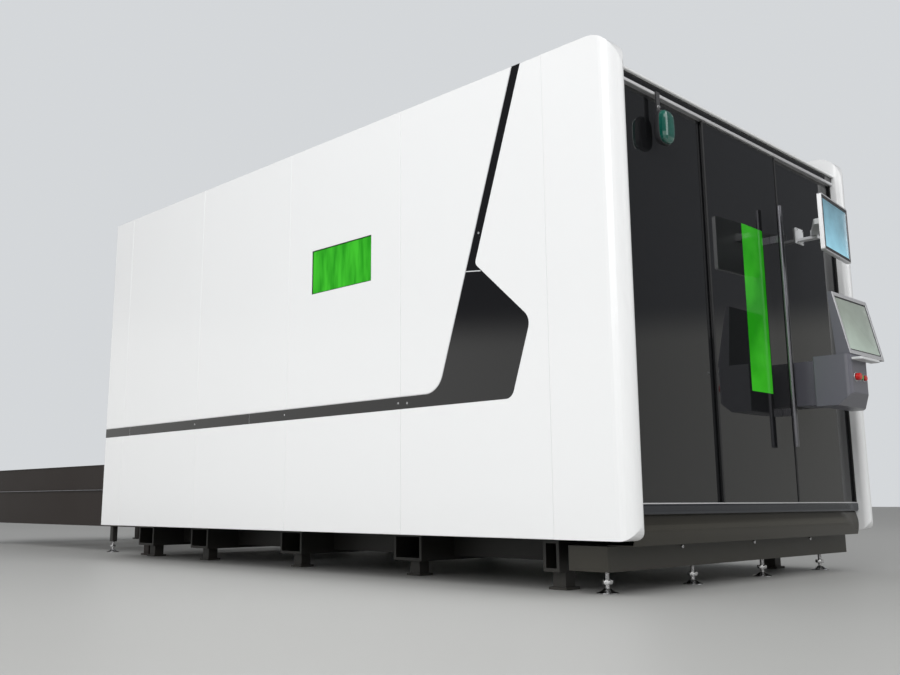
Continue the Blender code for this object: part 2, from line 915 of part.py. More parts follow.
def make_door(materials):
    """Sliding pane with its green window and pull bar."""
    low = sill_top + gap
    high = rail_bottom - gap
    door = box_object("sliding_door", across(door_left), across(door_right),
                      door_front, door_front + glass_sheet, low, high, materials["glass"])
    start = across(door_window_left)
    cut(door, box_object("window_hole", start, start + door_window_width,
                         door_front - overrun, door_front + overrun,
                         door_window_bottom, door_window_bottom + door_window_height))
    window = box_object("door_window", start + gap, start + door_window_width - gap,
                        door_front, door_front + glass_sheet, door_window_bottom + gap,
                        door_window_bottom + door_window_height - gap, materials["green"])
    middle = across(handle_centre)
    back = door_front - gap
    bar_back = back - handle_standoff
    handle = prism_object(
        "door_handle",
        rounded_rectangle(middle - handle_width / 2, middle + handle_width / 2,
                          bar_back - handle_depth, bar_back, handle_radius, 4),
        "Z", handle_bottom, handle_top, materials["silver"])
    feet = bmesh.new()
    for z in (handle_bottom + handle_foot_inset,
              handle_top - handle_foot_inset - handle_foot_height):
        add_box(feet, middle - handle_width / 4, middle + handle_width / 4,
                bar_back - handle_depth / 2, back, z, z + handle_foot_height)
    join(handle, new_object("handle_feet", feet))
    smooth(handle)
    return [door, window, handle]


def make_lamp(materials):
    """Rounded signal lamp on a strap from the door's rail."""
    x = across(lamp_centre_across)
    strap_back = nose + door_rail_setback - gap
    strap_front = strap_back - lamp_bracket_sheet
    box_object("lamp_bracket", x - lamp_bracket_width / 2, x + lamp_bracket_width / 2,
               strap_front, strap_back, rail_bottom + door_rail_height - lamp_bracket_drop,
               rail_bottom + door_rail_height, materials["dark"])
    y = strap_front - gap - lamp_depth / 2
    power = 2 / lamp_roundness

    def bent(value):
        return math.copysign(abs(value) ** power, value)

    mesh = bmesh.new()
    rings = []
    for row in range(1, lamp_rows):
        rise = math.pi * row / lamp_rows - math.pi / 2
        ring = []
        for column in range(lamp_columns):
            turn = 2 * math.pi * column / lamp_columns
            ring.append(mesh.verts.new((
                x + lamp_width / 2 * bent(math.cos(rise)) * bent(math.cos(turn)),
                y + lamp_depth / 2 * bent(math.cos(rise)) * bent(math.sin(turn)),
                lamp_centre_height + lamp_height / 2 * bent(math.sin(rise)))))
        rings.append(ring)
    for one, two in zip(rings, rings[1:]):
        for index in range(lamp_columns):
            after = (index + 1) % lamp_columns
            mesh.faces.new((one[index], one[after], two[after], two[index]))
    mesh.faces.new(rings[0])
    mesh.faces.new(rings[-1])
    smooth(new_object("signal_lamp", mesh, materials["teal"]), math.radians(60))


# Operator console
def make_cabinet(material):
    """Cabinet with a slanting right end, rounded upright corners and a chamfered foot."""
    x0 = across(cabinet_left)
    x1 = x0 + cabinet_width
    plan = rounded([(x1, cabinet_rear, cabinet_edge), (x0, cabinet_rear, cabinet_edge),
                    (x0, cabinet_front, cabinet_corner),
                    (x0 + cabinet_front_width, cabinet_front, cabinet_corner),
                    (x1, cabinet_rear - cabinet_side_depth, cabinet_edge)])
    cabinet = prism_object("console_cabinet", plan, "Z", cabinet_bottom - overrun,
                           cabinet_top + overrun, material)
    section = rounded([(cabinet_front + cabinet_chamfer_depth, cabinet_bottom, cabinet_edge),
                       (cabinet_rear, cabinet_bottom, cabinet_edge),
                       (cabinet_rear, cabinet_top, cabinet_edge),
                       (cabinet_front, cabinet_top, cabinet_edge),
                       (cabinet_front, cabinet_bottom + cabinet_chamfer_height, cabinet_edge)], 2)
    combine(cabinet, prism_object("cabinet_section", section, "X", x0 - overrun, x1 + overrun),
            "INTERSECT")
    return cabinet


def make_console(materials):
    neck_x = across(neck_left)
    box_object("console_neck", neck_x, neck_x + neck_width, cabinet_rear + gap,
               fixed_front - gap, neck_bottom, neck_bottom + neck_height, materials["grey"])
    cabinet = make_cabinet(materials["grey"])
    bores = bmesh.new()
    for x in (estop_across, start_across, stop_across):
        add_turned(bores, [(button_stem_radius + gap, cabinet_front - overrun),
                           (button_stem_radius + gap, cabinet_front + button_bore_depth)],
                   (across(x), 0, button_height), "Y", 16)
    cut(cabinet, new_object("button_bores", bores))
    smooth(cabinet)
    make_console_screen(materials["silver"])
    tray_x = across(tray_left)
    tray_top = cabinet_top - tray_drop - cabinet_edge
    back = cabinet_front - gap
    tray = rounded([(tray_x, back - tray_depth, tray_radius),
                    (tray_x + tray_width, back - tray_depth, tray_radius),
                    (tray_x + tray_width, back, 0), (tray_x, back, 0)])
    smooth(prism_object("keyboard_tray", tray, "Z", tray_top - tray_sheet, tray_top,
                        materials["light"]))


def make_console_screen(material):
    """Leaning screen housing on top of the cabinet, its glass sunk in a bezel."""
    x0 = across(screen_box_left)
    x1 = x0 + screen_box_width
    floor = cabinet_top + gap
    top = floor + screen_box_height
    foot_front = cabinet_front + gap
    section = [(foot_front, floor), (foot_front + screen_box_foot_depth, floor),
               (foot_front + screen_box_lean + screen_box_head_depth, top),
               (foot_front + screen_box_lean, top)]
    mesh = bmesh.new()
    add_prism(mesh, section, "X", x0, x1)
    box = new_object("console_screen", mesh, material)
    lean = math.atan2(screen_box_lean, screen_box_height)
    slope = math.hypot(screen_box_lean, screen_box_height)
    tool = bmesh.new()
    add_box(tool, x0 + screen_bezel, x1 - screen_bezel, -overrun, screen_recess,
            screen_bezel, slope - screen_bezel)
    bmesh.ops.transform(tool, verts=tool.verts, matrix=Matrix.Translation((0, foot_front, floor))
                        @ Matrix.Rotation(-lean, 4, "X"))
    cut(box, new_object("screen_recess", tool))
    return box


def make_buttons(materials):
    """Round caps on stems that slide in the cabinet's bores."""
    buttons = []
    for name, x, radius, cap, colour in (
            ("emergency_stop", estop_across, estop_radius, estop_cap, "red"),
            ("start_button", start_across, push_radius, push_cap, "start"),
            ("stop_button", stop_across, push_radius, push_cap, "red")):
        back = cabinet_front - button_travel - gap
        profile = [(radius * cap_crown_share, back - cap),
                   (radius, back - cap * cap_side_share), (radius, back),
                   (button_stem_radius, back),
                   (button_stem_radius, cabinet_front + button_bore_depth - button_travel - gap)]
        mesh = bmesh.new()
        add_turned(mesh, profile, (across(x), 0, button_height), "Y", 16)
        button = new_object(name, mesh, materials[colour])
        smooth(button)
        buttons.append((button, (across(x), back, button_height)))
    return buttons


# Upper monitor
def make_monitor(materials):
    """Wall plate with a pin, a turning arm and a tilting monitor."""
    x = across(bracket_across)
    plate_back = fixed_front - gap
    plate_front = plate_back - bracket_sheet
    half = bracket_size / 2
    plate = box_object("monitor_bracket", x - half, x + half, plate_front, plate_back,
                       bracket_height - half, bracket_height + half, materials["light"])
    pin_y = plate_front - hub_reach
    lug = bmesh.new()
    shelf = bracket_height - arm_height / 2 - gap
    add_box(lug, x - hub_radius, x + hub_radius, pin_y - hub_radius, plate_back - weld / 2,
            shelf - arm_height / 2, shelf)
    join(plate, new_object("bracket_shelf", lug))
    pin = bmesh.new()
    add_turned(pin, [(pin_radius, shelf - weld), (pin_radius, shelf + pin_length / 2)],
               (x, pin_y, 0), "Z", pivot_steps)
    join(plate, new_object("bracket_pin", pin))
    smooth(plate)

    base = shelf + gap
    middle = base + arm_height / 2
    centre = Vector((across(monitor_across), nose - monitor_reach))
    backward = Matrix.Rotation(monitor_yaw, 2) @ Vector((0, 1))
    joint = centre + backward * (monitor_depth + hub_radius + gap)
    elbow = joint + backward * (hub_radius + arm_elbow)
    arm = prism_object("monitor_arm", stadium((x, pin_y), elbow, arm_width / 2), "Z",
                       base, base + arm_height, materials["light"])
    join(arm, prism_object("arm_tongue", stadium(elbow, joint, arm_width / 2), "Z",
                           base, base + arm_height))
    hub = bmesh.new()
    add_turned(hub, [(hub_radius, base), (hub_radius, base + arm_height + weld)],
               (x, pin_y, 0), "Z", pivot_steps)
    join(arm, new_object("arm_hub", hub))
    bore = bmesh.new()
    bore_radius = pin_radius + pivot_clearance
    add_turned(bore, [(bore_radius, base - overrun), (bore_radius, base + 4 * arm_height)],
               (x, pin_y, 0), "Z", pivot_steps)
    cut(arm, new_object("hub_bore", bore))
    reach = arm_width / 2 + tilt_ear_sheet + 2 * gap
    tilt_pin = bmesh.new()
    add_turned(tilt_pin, [(tilt_pin_radius, joint.x - reach), (tilt_pin_radius, joint.x + reach)],
               (0, joint.y, middle), "X", pivot_steps)
    tilt_pin = new_object("tilt_pin", tilt_pin)
    turn_about(tilt_pin, joint, monitor_yaw)
    join(arm, tilt_pin)
    smooth(arm)
    monitor = make_monitor_case(materials["light"], joint, middle)
    turn_about(monitor, joint, monitor_yaw)
    return arm, (x, pin_y, middle), monitor, (joint.x, joint.y, middle)


def turn_about(obj, point, angle):
    """Turn a mesh round the upright line through a point of the plan."""
    shift = Matrix.Translation((point.x, point.y, 0))
    obj.data.transform(shift @ Matrix.Rotation(angle, 4, "Z") @ shift.inverted())


def stadium(one, two, radius, steps=8):
    """Plan of a bar with round ends between two points."""
    one = Vector(one)
    two = Vector(two)
    heading = math.atan2(two.y - one.y, two.x - one.x)
    points = []
    for centre, start in ((two, heading - math.pi / 2), (one, heading + math.pi / 2)):
        for step in range(steps + 1):
            angle = start + math.pi * step / steps
            points.append((centre.x + radius * math.cos(angle), centre.y + radius * math.sin(angle)))
    return points


def make_monitor_case(material, joint, middle):
    """Flat monitor with a sunk screen and two ears round the tilting pin."""
    back = joint.y - hub_radius - gap
    front = back - monitor_depth
    x0 = joint.x - monitor_width / 2
    x1 = joint.x + monitor_width / 2
    z1 = monitor_bottom + monitor_height
    case = prism_object("upper_monitor",
                        rounded_rectangle(x0, x1, monitor_bottom, z1, monitor_corner, 4),
                        "Y", front, back, material)
    cut(case, box_object("screen_recess", x0 + monitor_frame, x1 - monitor_frame,
                         front - overrun, front + screen_recess,
                         monitor_bottom + monitor_frame, z1 - monitor_frame))
    ears = bmesh.new()
    inner = arm_width / 2 + gap
    outline = rounded([(back - weld, middle - hub_radius, 0),
                       (joint.y + hub_radius, middle - hub_radius, hub_radius),
                       (joint.y + hub_radius, middle + hub_radius, hub_radius),
                       (back - weld, middle + hub_radius, 0)])
    for side in (-1, 1):
        low, high = sorted((joint.x + side * inner, joint.x + side * (inner + tilt_ear_sheet)))
        add_prism(ears, outline, "X", low, high)
    join(case, new_object("tilt_ears", ears))
    bore = bmesh.new()
    reach = inner + tilt_ear_sheet + overrun
    bore_radius = tilt_pin_radius + pivot_clearance
    add_turned(bore, [(bore_radius, joint.x - reach), (bore_radius, joint.x + reach)],
               (0, joint.y, middle), "X", pivot_steps)
    cut(case, new_object("tilt_bore", bore))
    smooth(case)
    return case


# Roof and rear wall
def make_roof(material):
    """Folded roof sheet on the two wall frames, open below."""
    reach = width / 2 - pan_depth - gap
    start = nose + nose_length + gap
    base = frame_top + gap
    roof = box_object("roof", -reach, reach, start, tail, base, base + roof_sheet, material)
    pockets = bmesh.new()
    pitch = (tail - start - pan_lip) / roof_bay_count
    for index in range(roof_bay_count):
        low = start + pan_lip + pitch * index
        add_box(pockets, pan_lip - reach, reach - pan_lip, low, low + pitch - pan_lip,
                base - overrun, base + roof_sheet - skin)
    cut(roof, new_object("roof_pockets", pockets))
    return roof


def make_rear_wall(material):
    """Rear sheet with folded edges round the passage for the pallets."""
    reach = width / 2 - pan_depth - gap
    front = tail - rear_wall_sheet
    passage_top = passage_bottom + passage_height
    top = frame_top - gap
    wall = box_object("rear_wall", -reach, reach, front, tail, frame_bottom, top, material)
    cut(wall, box_object("passage", -passage_half_width, passage_half_width,
                         front - overrun, tail + overrun, passage_bottom, passage_top))
    pockets = bmesh.new()
    for x0, x1, z0, z1 in ((-reach, reach, frame_bottom, passage_bottom),
                           (-reach, reach, passage_top, top),
                           (-reach, -passage_half_width, passage_bottom, passage_top),
                           (passage_half_width, reach, passage_bottom, passage_top)):
        add_box(pockets, x0 + pan_lip, x1 - pan_lip, front - overrun, tail - skin,
                z0 + pan_lip, z1 - pan_lip)
    cut(wall, new_object("wall_pockets", pockets))
    return wall


# Machine bed
def side_rectangle(side, d0, d1, z0, z1):
    """Outline in X and Z between two depths inside a wall's outer face."""
    x0, x1 = sorted((wall_x(side, d0), wall_x(side, d1)))
    return rectangle(x0, x1, z0, z1)


def make_bed_side(name, side, material):
    """Hollow bed side with hand holes and two ledges for the pallets."""
    start = nose + bed_start
    end = start + bed_length
    inner = bed_outer + bed_width
    outline = [(bed_outer, bed_floor), (inner, bed_floor)]
    for level in (lower_level, upper_level):
        outline += [(inner, level - ledge_sheet), (inner + ledge_reach, level - ledge_sheet),
                    (inner + ledge_reach, level), (inner, level)]
    outline += [(inner, bed_top), (bed_outer, bed_top)]
    points = [(wall_x(side, depth), z) for depth, z in outline]
    bed = prism_object(name, points, "Y", start, end, material)
    hollow = side_rectangle(side, bed_outer + bed_wall, inner - bed_wall,
                            bed_floor + bed_wall, bed_top - bed_wall)
    cut(bed, prism_object("bed_hollow", hollow, "Y", start - overrun, end + overrun))
    windows = bmesh.new()
    pitch = bed_length / bed_window_count
    x0, x1 = sorted((wall_x(side, bed_outer - overrun), wall_x(side, inner + overrun)))
    for index in range(bed_window_count):
        middle = start + pitch * (index + 1 / 2)
        add_prism(windows, rounded_rectangle(middle - bed_window_length / 2,
                                             middle + bed_window_length / 2,
                                             bed_window_bottom,
                                             bed_window_bottom + bed_window_height,
                                             bed_window_corner, 3), "X", x0, x1)
    cut(bed, new_object("bed_windows", windows))
    return bed


def make_bed_beam(name, start, material):
    """Rectangular tube between the two bed sides."""
    reach = width / 2 - bed_outer - bed_width - gap
    mesh = bmesh.new()
    add_rectangular_tube(mesh, "X", -reach, reach, start, start + bed_beam_depth,
                         bed_floor, bed_floor + bed_beam_height, bed_wall)
    return new_object(name, mesh, material)


def make_guide(name, side, material):
    """Ground base strip with the guide rail and the rack on the bed side."""
    middle = bed_outer + bed_width / 2
    base = bed_top + gap
    half = guide_width / 2
    waist = half - guide_waist
    floor = base + guide_base_height
    top = floor + guide_height
    low_shoulder = floor + guide_height * guide_shoulder_share
    low_waist = floor + guide_height * guide_waist_share
    high_waist = top - guide_height * guide_waist_share
    high_shoulder = top - guide_height * guide_shoulder_share
    rack = middle - guide_base_width / 2
    outline = [
        (rack, base), (middle + guide_base_width / 2, base),
        (middle + guide_base_width / 2, floor), (middle + half, floor),
        (middle + half, low_shoulder), (middle + waist, low_waist),
        (middle + waist, high_waist), (middle + half, high_shoulder),
        (middle + half, top), (middle - half, top),
        (middle - half, high_shoulder), (middle - waist, high_waist),
        (middle - waist, low_waist), (middle - half, low_shoulder),
        (middle - half, floor), (rack + rack_width, floor),
        (rack + rack_width, floor + rack_height), (rack, floor + rack_height),
    ]
    start = nose + bed_start + guide_end_margin
    end = nose + bed_start + bed_length - guide_end_margin
    return prism_object(name, [(wall_x(side, depth), z) for depth, z in outline], "Y",
                        start, end, material)


# Gantry
def make_saddle(name, side, material):
    """Saddle astride the guide rail, clear of the rack, with its drive motor."""
    middle = bed_outer + bed_width / 2
    outer = middle - saddle_width / 2
    inner = middle + saddle_width / 2
    floor = bed_top + gap + guide_base_height + rack_space / 2
    rail = guide_width / 2 + gap
    rack = middle - guide_base_width / 2
    rack_top = bed_top + gap + guide_base_height + rack_height + rack_space / 2
    outline = [
        (outer, floor), (rack - rack_space / 2, floor), (rack - rack_space / 2, rack_top),
        (rack + rack_width + gap, rack_top), (rack + rack_width + gap, floor),
        (middle - rail, floor), (middle - rail, guide_top + gap),
        (middle + rail, guide_top + gap), (middle + rail, floor), (inner, floor),
        (inner, saddle_top), (outer, saddle_top),
    ]
    start = gantry_middle - saddle_length / 2
    saddle = prism_object(name, [(wall_x(side, depth), z) for depth, z in outline], "Y",
                          start, start + saddle_length, material)
    centre = wall_x(side, outer + motor_size / 2 + saddle_side / 2)
    back = start + saddle_length - saddle_side / 2
    motor = bmesh.new()
    add_prism(motor, rounded_rectangle(centre - motor_size / 2, centre + motor_size / 2,
                                       back - motor_size * motor_depth_share, back,
                                       motor_corner, 2),
              "Z", saddle_top - weld, saddle_top + motor_length)
    join(saddle, new_object("drive_motor", motor))
    return saddle


def make_beam(material):
    """Hollow extruded beam with two guide rails on its front."""
    front = beam_front
    back = front + beam_depth
    low = beam_bottom
    high = low + beam_height
    rail = front - beam_rail_height
    outline = [(front, low)]
    outline += [(back, low), (back, high), (front, high)]
    for z in (high - beam_rail_inset, low + beam_rail_inset + beam_rail_width):
        outline += [(front, z), (rail, z), (rail, z - beam_rail_width),
                    (front, z - beam_rail_width)]
    reach = width / 2 - bed_outer + beam_overhang
    beam = prism_object("gantry_beam", outline, "X", -reach, reach, material)
    half = beam_depth / 2
    hollow = bmesh.new()
    for y0, y1 in ((front + beam_wall, front + half - beam_wall / 2),
                   (front + half + beam_wall / 2, back - beam_wall)):
        add_prism(hollow, rectangle(y0, y1, low + beam_wall, high - beam_wall), "X",
                  -reach - overrun, reach + overrun)
    cut(beam, new_object("beam_hollow", hollow))
    return beam


def make_carriage(materials):
    """Angle plate that runs on the beam and carries the lifting slide."""
    rail = beam_front - beam_rail_height - gap
    front = rail - carriage_sheet
    top = beam_bottom + beam_height + gap
    back = beam_front + beam_depth * carriage_cover_share
    outline = [(front, beam_bottom - carriage_drop), (rail, beam_bottom - carriage_drop),
               (rail, top), (back, top), (back, top + carriage_sheet),
               (rail, top + carriage_rise), (front, top + carriage_rise)]
    half = carriage_width / 2
    carriage = prism_object("x_carriage", outline, "X", -half, half, materials["grey"])
    motor = prism_object("lift_motor",
                         rounded_rectangle(-motor_size / 2, motor_size / 2,
                                           beam_front + weld, beam_front + weld + motor_size,
                                           motor_corner, 2),
                         "Z", top + carriage_sheet / 2, top + carriage_sheet + motor_length)
    join(carriage, motor)
    slide_back = front - gap
    slide_front = slide_back - slide_depth
    slide = box_object("z_slide", -slide_width / 2, slide_width / 2, slide_front, slide_back,
                       slide_bottom, slide_bottom + slide_height, materials["steel"])
    grooves = bmesh.new()
    for side in (-1, 1):
        x = side * slide_width / 2
        add_box(grooves, x - groove_depth, x + groove_depth,
                slide_front + slide_depth * groove_edge_share,
                slide_back - slide_depth * groove_edge_share,
                slide_bottom - overrun, slide_bottom + slide_height + overrun)
    cut(slide, new_object("slide_grooves", grooves))
    head = make_head(materials["light"], slide_front - gap)
    return carriage, slide, head


def make_head(material, seat):
    """Cutting head: nozzle, sensor ring, lens body, collimator and fibre socket."""
    y = seat - head_offset
    tip = nozzle_tip
    collar = tip + nozzle_length
    body = collar + nozzle_length
    shoulder = slide_bottom + slide_height * head_shoulder_share
    top = slide_bottom + slide_height * head_top_share
    profile = [
        (nozzle_tip_radius, tip), (nozzle_radius, collar), (head_neck_radius, collar),
        (head_neck_radius, body), (head_sleeve_radius, body + head_taper),
        (head_sleeve_radius, shoulder - nozzle_length), (head_radius, shoulder),
        (head_radius, top - nozzle_length), (head_neck_radius, top),
        (head_neck_radius, top + nozzle_length), (nozzle_radius, top + nozzle_length),
        (nozzle_radius, top + 2 * nozzle_length),
    ]
    mesh = bmesh.new()
    add_turned(mesh, profile, (0, y, 0), "Z", 20)
    head = new_object("cutting_head", mesh, material)
    mount = box_object("head_mount", -head_mount_half, head_mount_half,
                       y, seat, shoulder, top - nozzle_length)
    join(head, mount)
    smooth(head)
    return head


# Pallets
def make_pallet(name, level, start, material):
    """Welded pallet frame with a row of toothed slats."""
    half = pallet_width / 2
    base = level + gap
    outer = rectangle(-half, half, start, start + pallet_length)
    inner = rectangle(pallet_bar - half, half - pallet_bar, start + pallet_bar,
                      start + pallet_length - pallet_bar)
    mesh = bmesh.new()
    add_tube(mesh, outer, inner, "Z", base, base + pallet_bar_height)
    pallet = new_object(name, mesh, material)
    span = pallet_width - 2 * pallet_bar + 2 * weld
    low = -span / 2
    tooth = span / slat_teeth
    crest = base + pallet_height
    outline = [(low, base + slat_foot), (low + span, base + slat_foot),
               (low + span, crest - slat_tooth)]
    for index in range(slat_teeth):
        right = low + span - tooth * index
        outline.append((right - tooth / 2, crest))
        if index < slat_teeth - 1:
            outline.append((right - tooth, crest - slat_tooth))
    outline.append((low, crest - slat_tooth))
    slats = bmesh.new()
    pitch = (pallet_length - 2 * pallet_bar) / slat_count
    for index in range(slat_count):
        middle = start + pallet_bar + pitch * (index + 1 / 2)
        add_prism(slats, outline, "Y", middle - slat_sheet / 2, middle + slat_sheet / 2)
    join(pallet, new_object("slats", slats))
    return pallet


# Pallet changer
def changer_section():
    """Depth and height points of the side sheet with its two rail flanges."""
    outer = changer_inset
    lower = outer + skirt_step
    sheet = skirt_sheet
    tip = outer + skirt_flange
    rail = tip - changer_rail_width
    low_flange = lower_level - 3 * sheet
    return [
        (lower, skirt_bottom), (tip, skirt_bottom), (tip, skirt_bottom + sheet),
        (lower + sheet, skirt_bottom + sheet), (lower + sheet, skirt_fold),
        (outer + sheet, skirt_fold), (outer + sheet, low_flange), (tip, low_flange),
        (tip, lower_level), (rail, lower_level), (rail, low_flange + sheet),
        (outer + sheet, low_flange + sheet), (outer + sheet, skirt_top - sheet),
        (tip, skirt_top - sheet), (tip, upper_level), (rail, upper_level),
        (rail, skirt_top), (outer, skirt_top), (outer, skirt_fold), (lower, skirt_fold),
    ]


def changer_tube_places():
    """Y of each cross channel under the changer."""
    start = tail + changer_end_margin
    end = tail + changer_length - changer_end_margin
    pitch = (end - start) / (changer_tube_count - 1)
    return [start + pitch * index for index in range(changer_tube_count)]


def make_changer(material):
    """Welded changer frame: two folded sides, an end sheet, channels and legs."""
    start = tail + gap
    end = tail + changer_length
    sides = bmesh.new()
    for side in (-1, 1):
        section = [(wall_x(side, depth), z) for depth, z in changer_section()]
        add_prism(sides, section, "Y", start, end - skirt_sheet / 2)
    frame = new_object("changer_frame", sides, material)
    parts = bmesh.new()
    inset = changer_inset + skirt_step / 2
    add_box(parts, wall_x(-1, inset), wall_x(1, inset), end - skirt_sheet, end,
            skirt_bottom + skirt_step, skirt_top - skirt_step)
    reach = width / 2 - changer_inset - skirt_step - skirt_sheet / 2
    sheet = tube_wall
    for middle in changer_tube_places():
        y0 = middle - changer_tube_width / 2
        y1 = middle + changer_tube_width / 2
        z0 = skirt_bottom + sheet
        z1 = z0 + changer_tube_height
        channel = [(y0, z0), (y0 + sheet, z0), (y0 + sheet, z1 - sheet), (y1 - sheet, z1 - sheet),
                   (y1 - sheet, z0), (y1, z0), (y1, z1), (y0, z1)]
        add_prism(parts, channel, "X", -reach, reach)
    join(frame, new_object("changer_parts", parts))
    legs = bmesh.new()
    for side in (-1, 1):
        x = wall_x(side, changer_inset + skirt_flange / 2)
        for y in (start + changer_leg_inset, end - changer_leg_inset - leg_size):
            add_stepped_post(legs, x, y,
                             [(leg_plate_size / 2, 0), (leg_plate_size / 2, leg_plate_height),
                              (leg_size / 2, leg_plate_height),
                              (leg_size / 2, skirt_bottom + skirt_sheet / 2)])
    join(frame, new_object("changer_legs", legs))
    return frame


def make_drive(material):
    """Geared motor of the changer's chains, bolted on the last channel."""
    y = changer_tube_places()[-1]
    seat = skirt_bottom + tube_wall + changer_tube_height + gap
    half = drive_gearbox / 2
    box = box_object("changer_drive", -half, half, y - changer_tube_width / 2,
                     y + changer_tube_width / 2, seat, seat + drive_gearbox + half, material)
    motor = bmesh.new()
    middle = seat + drive_gearbox * drive_axis_share
    add_turned(motor, [(drive_radius, half - weld), (drive_radius, half + drive_length),
                       (drive_cap_radius, half + drive_length + drive_cap_length)],
               (0, y, middle), "X", 16)
    join(box, new_object("drive_motor", motor))
    smooth(box)
    return box


# Moving pieces hang on empties that sit on their joints' axes
def hinge_point(name, location, parent=None):
    empty = bpy.data.objects.new(name, None)
    bpy.context.collection.objects.link(empty)
    place_under(empty, Vector(location), parent)
    return empty


def world_place(obj):
    """World place of an empty whose chain of parents only moves it."""
    point = obj.location.copy()
    while obj.parent:
        obj = obj.parent
        point += obj.location
    return point


def place_under(obj, location, parent):
    obj.parent = parent
    obj.location = location - (world_place(parent) if parent else Vector((0, 0, 0)))


def carry(empty, *objects):
    """Give the objects the empty's origin and make it their parent."""
    origin = world_place(empty)
    for obj in objects:
        obj.data.transform(Matrix.Translation(-origin))
        obj.parent = empty
        obj.location = (0, 0, 0)


def clear_scene():
    for obj in list(bpy.data.objects):
        bpy.data.objects.remove(obj)


def build():
    clear_scene()
    materials = make_materials()
    make_base_frame(materials["frame"])
    make_feet(materials["chrome"])
    make_housing_frame("housing_frame_left", -1, materials["frame"])
    make_housing_frame("housing_frame_right", 1, materials["frame"])
    make_left_wall(materials)
    make_right_wall(materials)
    make_header(materials)
    make_sill(materials["brown"])
    make_apron(materials["brown"])
    make_fixed_glass(materials)
    door = make_door(materials)
    carry(hinge_point("door_axis", (across(door_left), door_front, rail_bottom)), *door)
    make_lamp(materials)
    make_console(materials)
    for button, point in make_buttons(materials):
        carry(hinge_point(button.name + "_axis", point), button)
    arm, arm_axis, monitor, tilt_axis = make_monitor(materials)
    arm_empty = hinge_point("monitor_swivel", arm_axis)
    carry(arm_empty, arm)
    carry(hinge_point("monitor_tilt", tilt_axis, arm_empty), monitor)
    make_roof(materials["white"])
    make_rear_wall(materials["white"])
    for side, word in ((-1, "left"), (1, "right")):
        make_bed_side("bed_side_" + word, side, materials["blue"])
        make_guide("guide_rail_" + word, side, materials["steel"])
    make_bed_beam("bed_front_beam", nose + bed_start, materials["blue"])
    make_bed_beam("bed_rear_beam", nose + bed_start + bed_length - bed_beam_depth,
                  materials["blue"])
    saddles = [make_saddle("saddle_left", -1, materials["grey"]),
               make_saddle("saddle_right", 1, materials["grey"])]
    beam = make_beam(materials["silver"])
    carriage, slide, head = make_carriage(materials)
    gantry_empty = hinge_point("gantry_axis", (0, gantry_middle, guide_top))
    carry(gantry_empty, beam, *saddles)
    carriage_empty = hinge_point("carriage_axis", (0, beam_front, beam_bottom), gantry_empty)
    carry(carriage_empty, carriage)
    head_axis = (0, beam_front - beam_rail_height - carriage_sheet, slide_bottom)
    carry(hinge_point("head_axis", head_axis, carriage_empty), slide, head)
    upper = make_pallet("pallet_upper", upper_level, nose + pallet_start, materials["rust"])
    lower = make_pallet("pallet_lower", lower_level, nose + pallet_start + pallet_stroke,
                        materials["rust"])
    carry(hinge_point("pallet_upper_axis", (0, nose + pallet_start, upper_level)), upper)
    carry(hinge_point("pallet_lower_axis", (0, nose + pallet_start + pallet_stroke, lower_level)),
          lower)
    make_changer(materials["umber"])
    make_drive(materials["grey"])


build()
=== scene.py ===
# Looks of a fiber laser cutting machine: finishes, trim, screens, seals and fixings round the fixed frame.
import json
import math

import bmesh
import bpy
import numpy as np
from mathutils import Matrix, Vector


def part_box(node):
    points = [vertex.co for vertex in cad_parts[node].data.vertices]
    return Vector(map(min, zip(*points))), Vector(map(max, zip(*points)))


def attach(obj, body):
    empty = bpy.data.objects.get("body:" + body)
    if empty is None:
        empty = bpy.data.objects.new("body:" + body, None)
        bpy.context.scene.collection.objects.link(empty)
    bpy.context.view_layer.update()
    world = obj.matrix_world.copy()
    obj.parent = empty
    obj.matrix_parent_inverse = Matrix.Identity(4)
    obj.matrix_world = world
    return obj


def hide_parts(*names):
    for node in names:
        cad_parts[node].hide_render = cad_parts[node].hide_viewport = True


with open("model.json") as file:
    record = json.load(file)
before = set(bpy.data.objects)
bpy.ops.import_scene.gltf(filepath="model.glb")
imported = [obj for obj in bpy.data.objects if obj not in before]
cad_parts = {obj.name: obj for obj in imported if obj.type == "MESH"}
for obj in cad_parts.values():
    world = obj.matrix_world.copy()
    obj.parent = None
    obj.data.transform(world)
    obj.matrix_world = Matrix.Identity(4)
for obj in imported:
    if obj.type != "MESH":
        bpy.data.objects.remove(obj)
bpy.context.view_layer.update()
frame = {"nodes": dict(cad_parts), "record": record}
nodes = frame["nodes"]
print("frame loaded:", len(nodes), "nodes")

# The photo's frame is 900 x 675 and its camera stands low at the front left corner
camera = {
    "place": (-4.682, -5.976, 0.389),
    "turn": 44.23,      # degrees from +Y towards +X
    "rise": 10.96,      # degrees upwards
    "roll": 0.11,
    "lens": 39.43,
    "shiftX": 0.0397,
    "shiftY": -0.030,
}

light = {
    "worldColour": (0.97, 0.98, 1.0),
    "worldStrength": 0.645,
    "backdrop": (0.66, 0.68, 0.70),
    "roomHigh": (0.15, 0.155, 0.165),   # what glass and gloss mirror well above the horizon
    "roomLow": (1.05, 1.05, 1.02),       # and close to it, on the left
    "roomLowRight": (0.42, 0.42, 0.40),  # and close to it, on the right
    "roomEdge": (0.15, 0.19),            # rise of the line of sight between high and low
    "roomTurn": (-0.2, 0.4),             # its part along +X between left and right
    "keyPlace": (-9.5, -4.5, 6.8),
    "keySize": 9.0,
    "keyPower": 830.0,
    "frontPlace": (3.0, -11.0, 6.0),
    "frontSize": 8.0,
    "frontPower": 320.0,
}

floorSet = {
    "reach": 60.0,
    "colour": (0.46, 0.46, 0.445),
    "roughness": 0.5,
}


# Shared shader groups

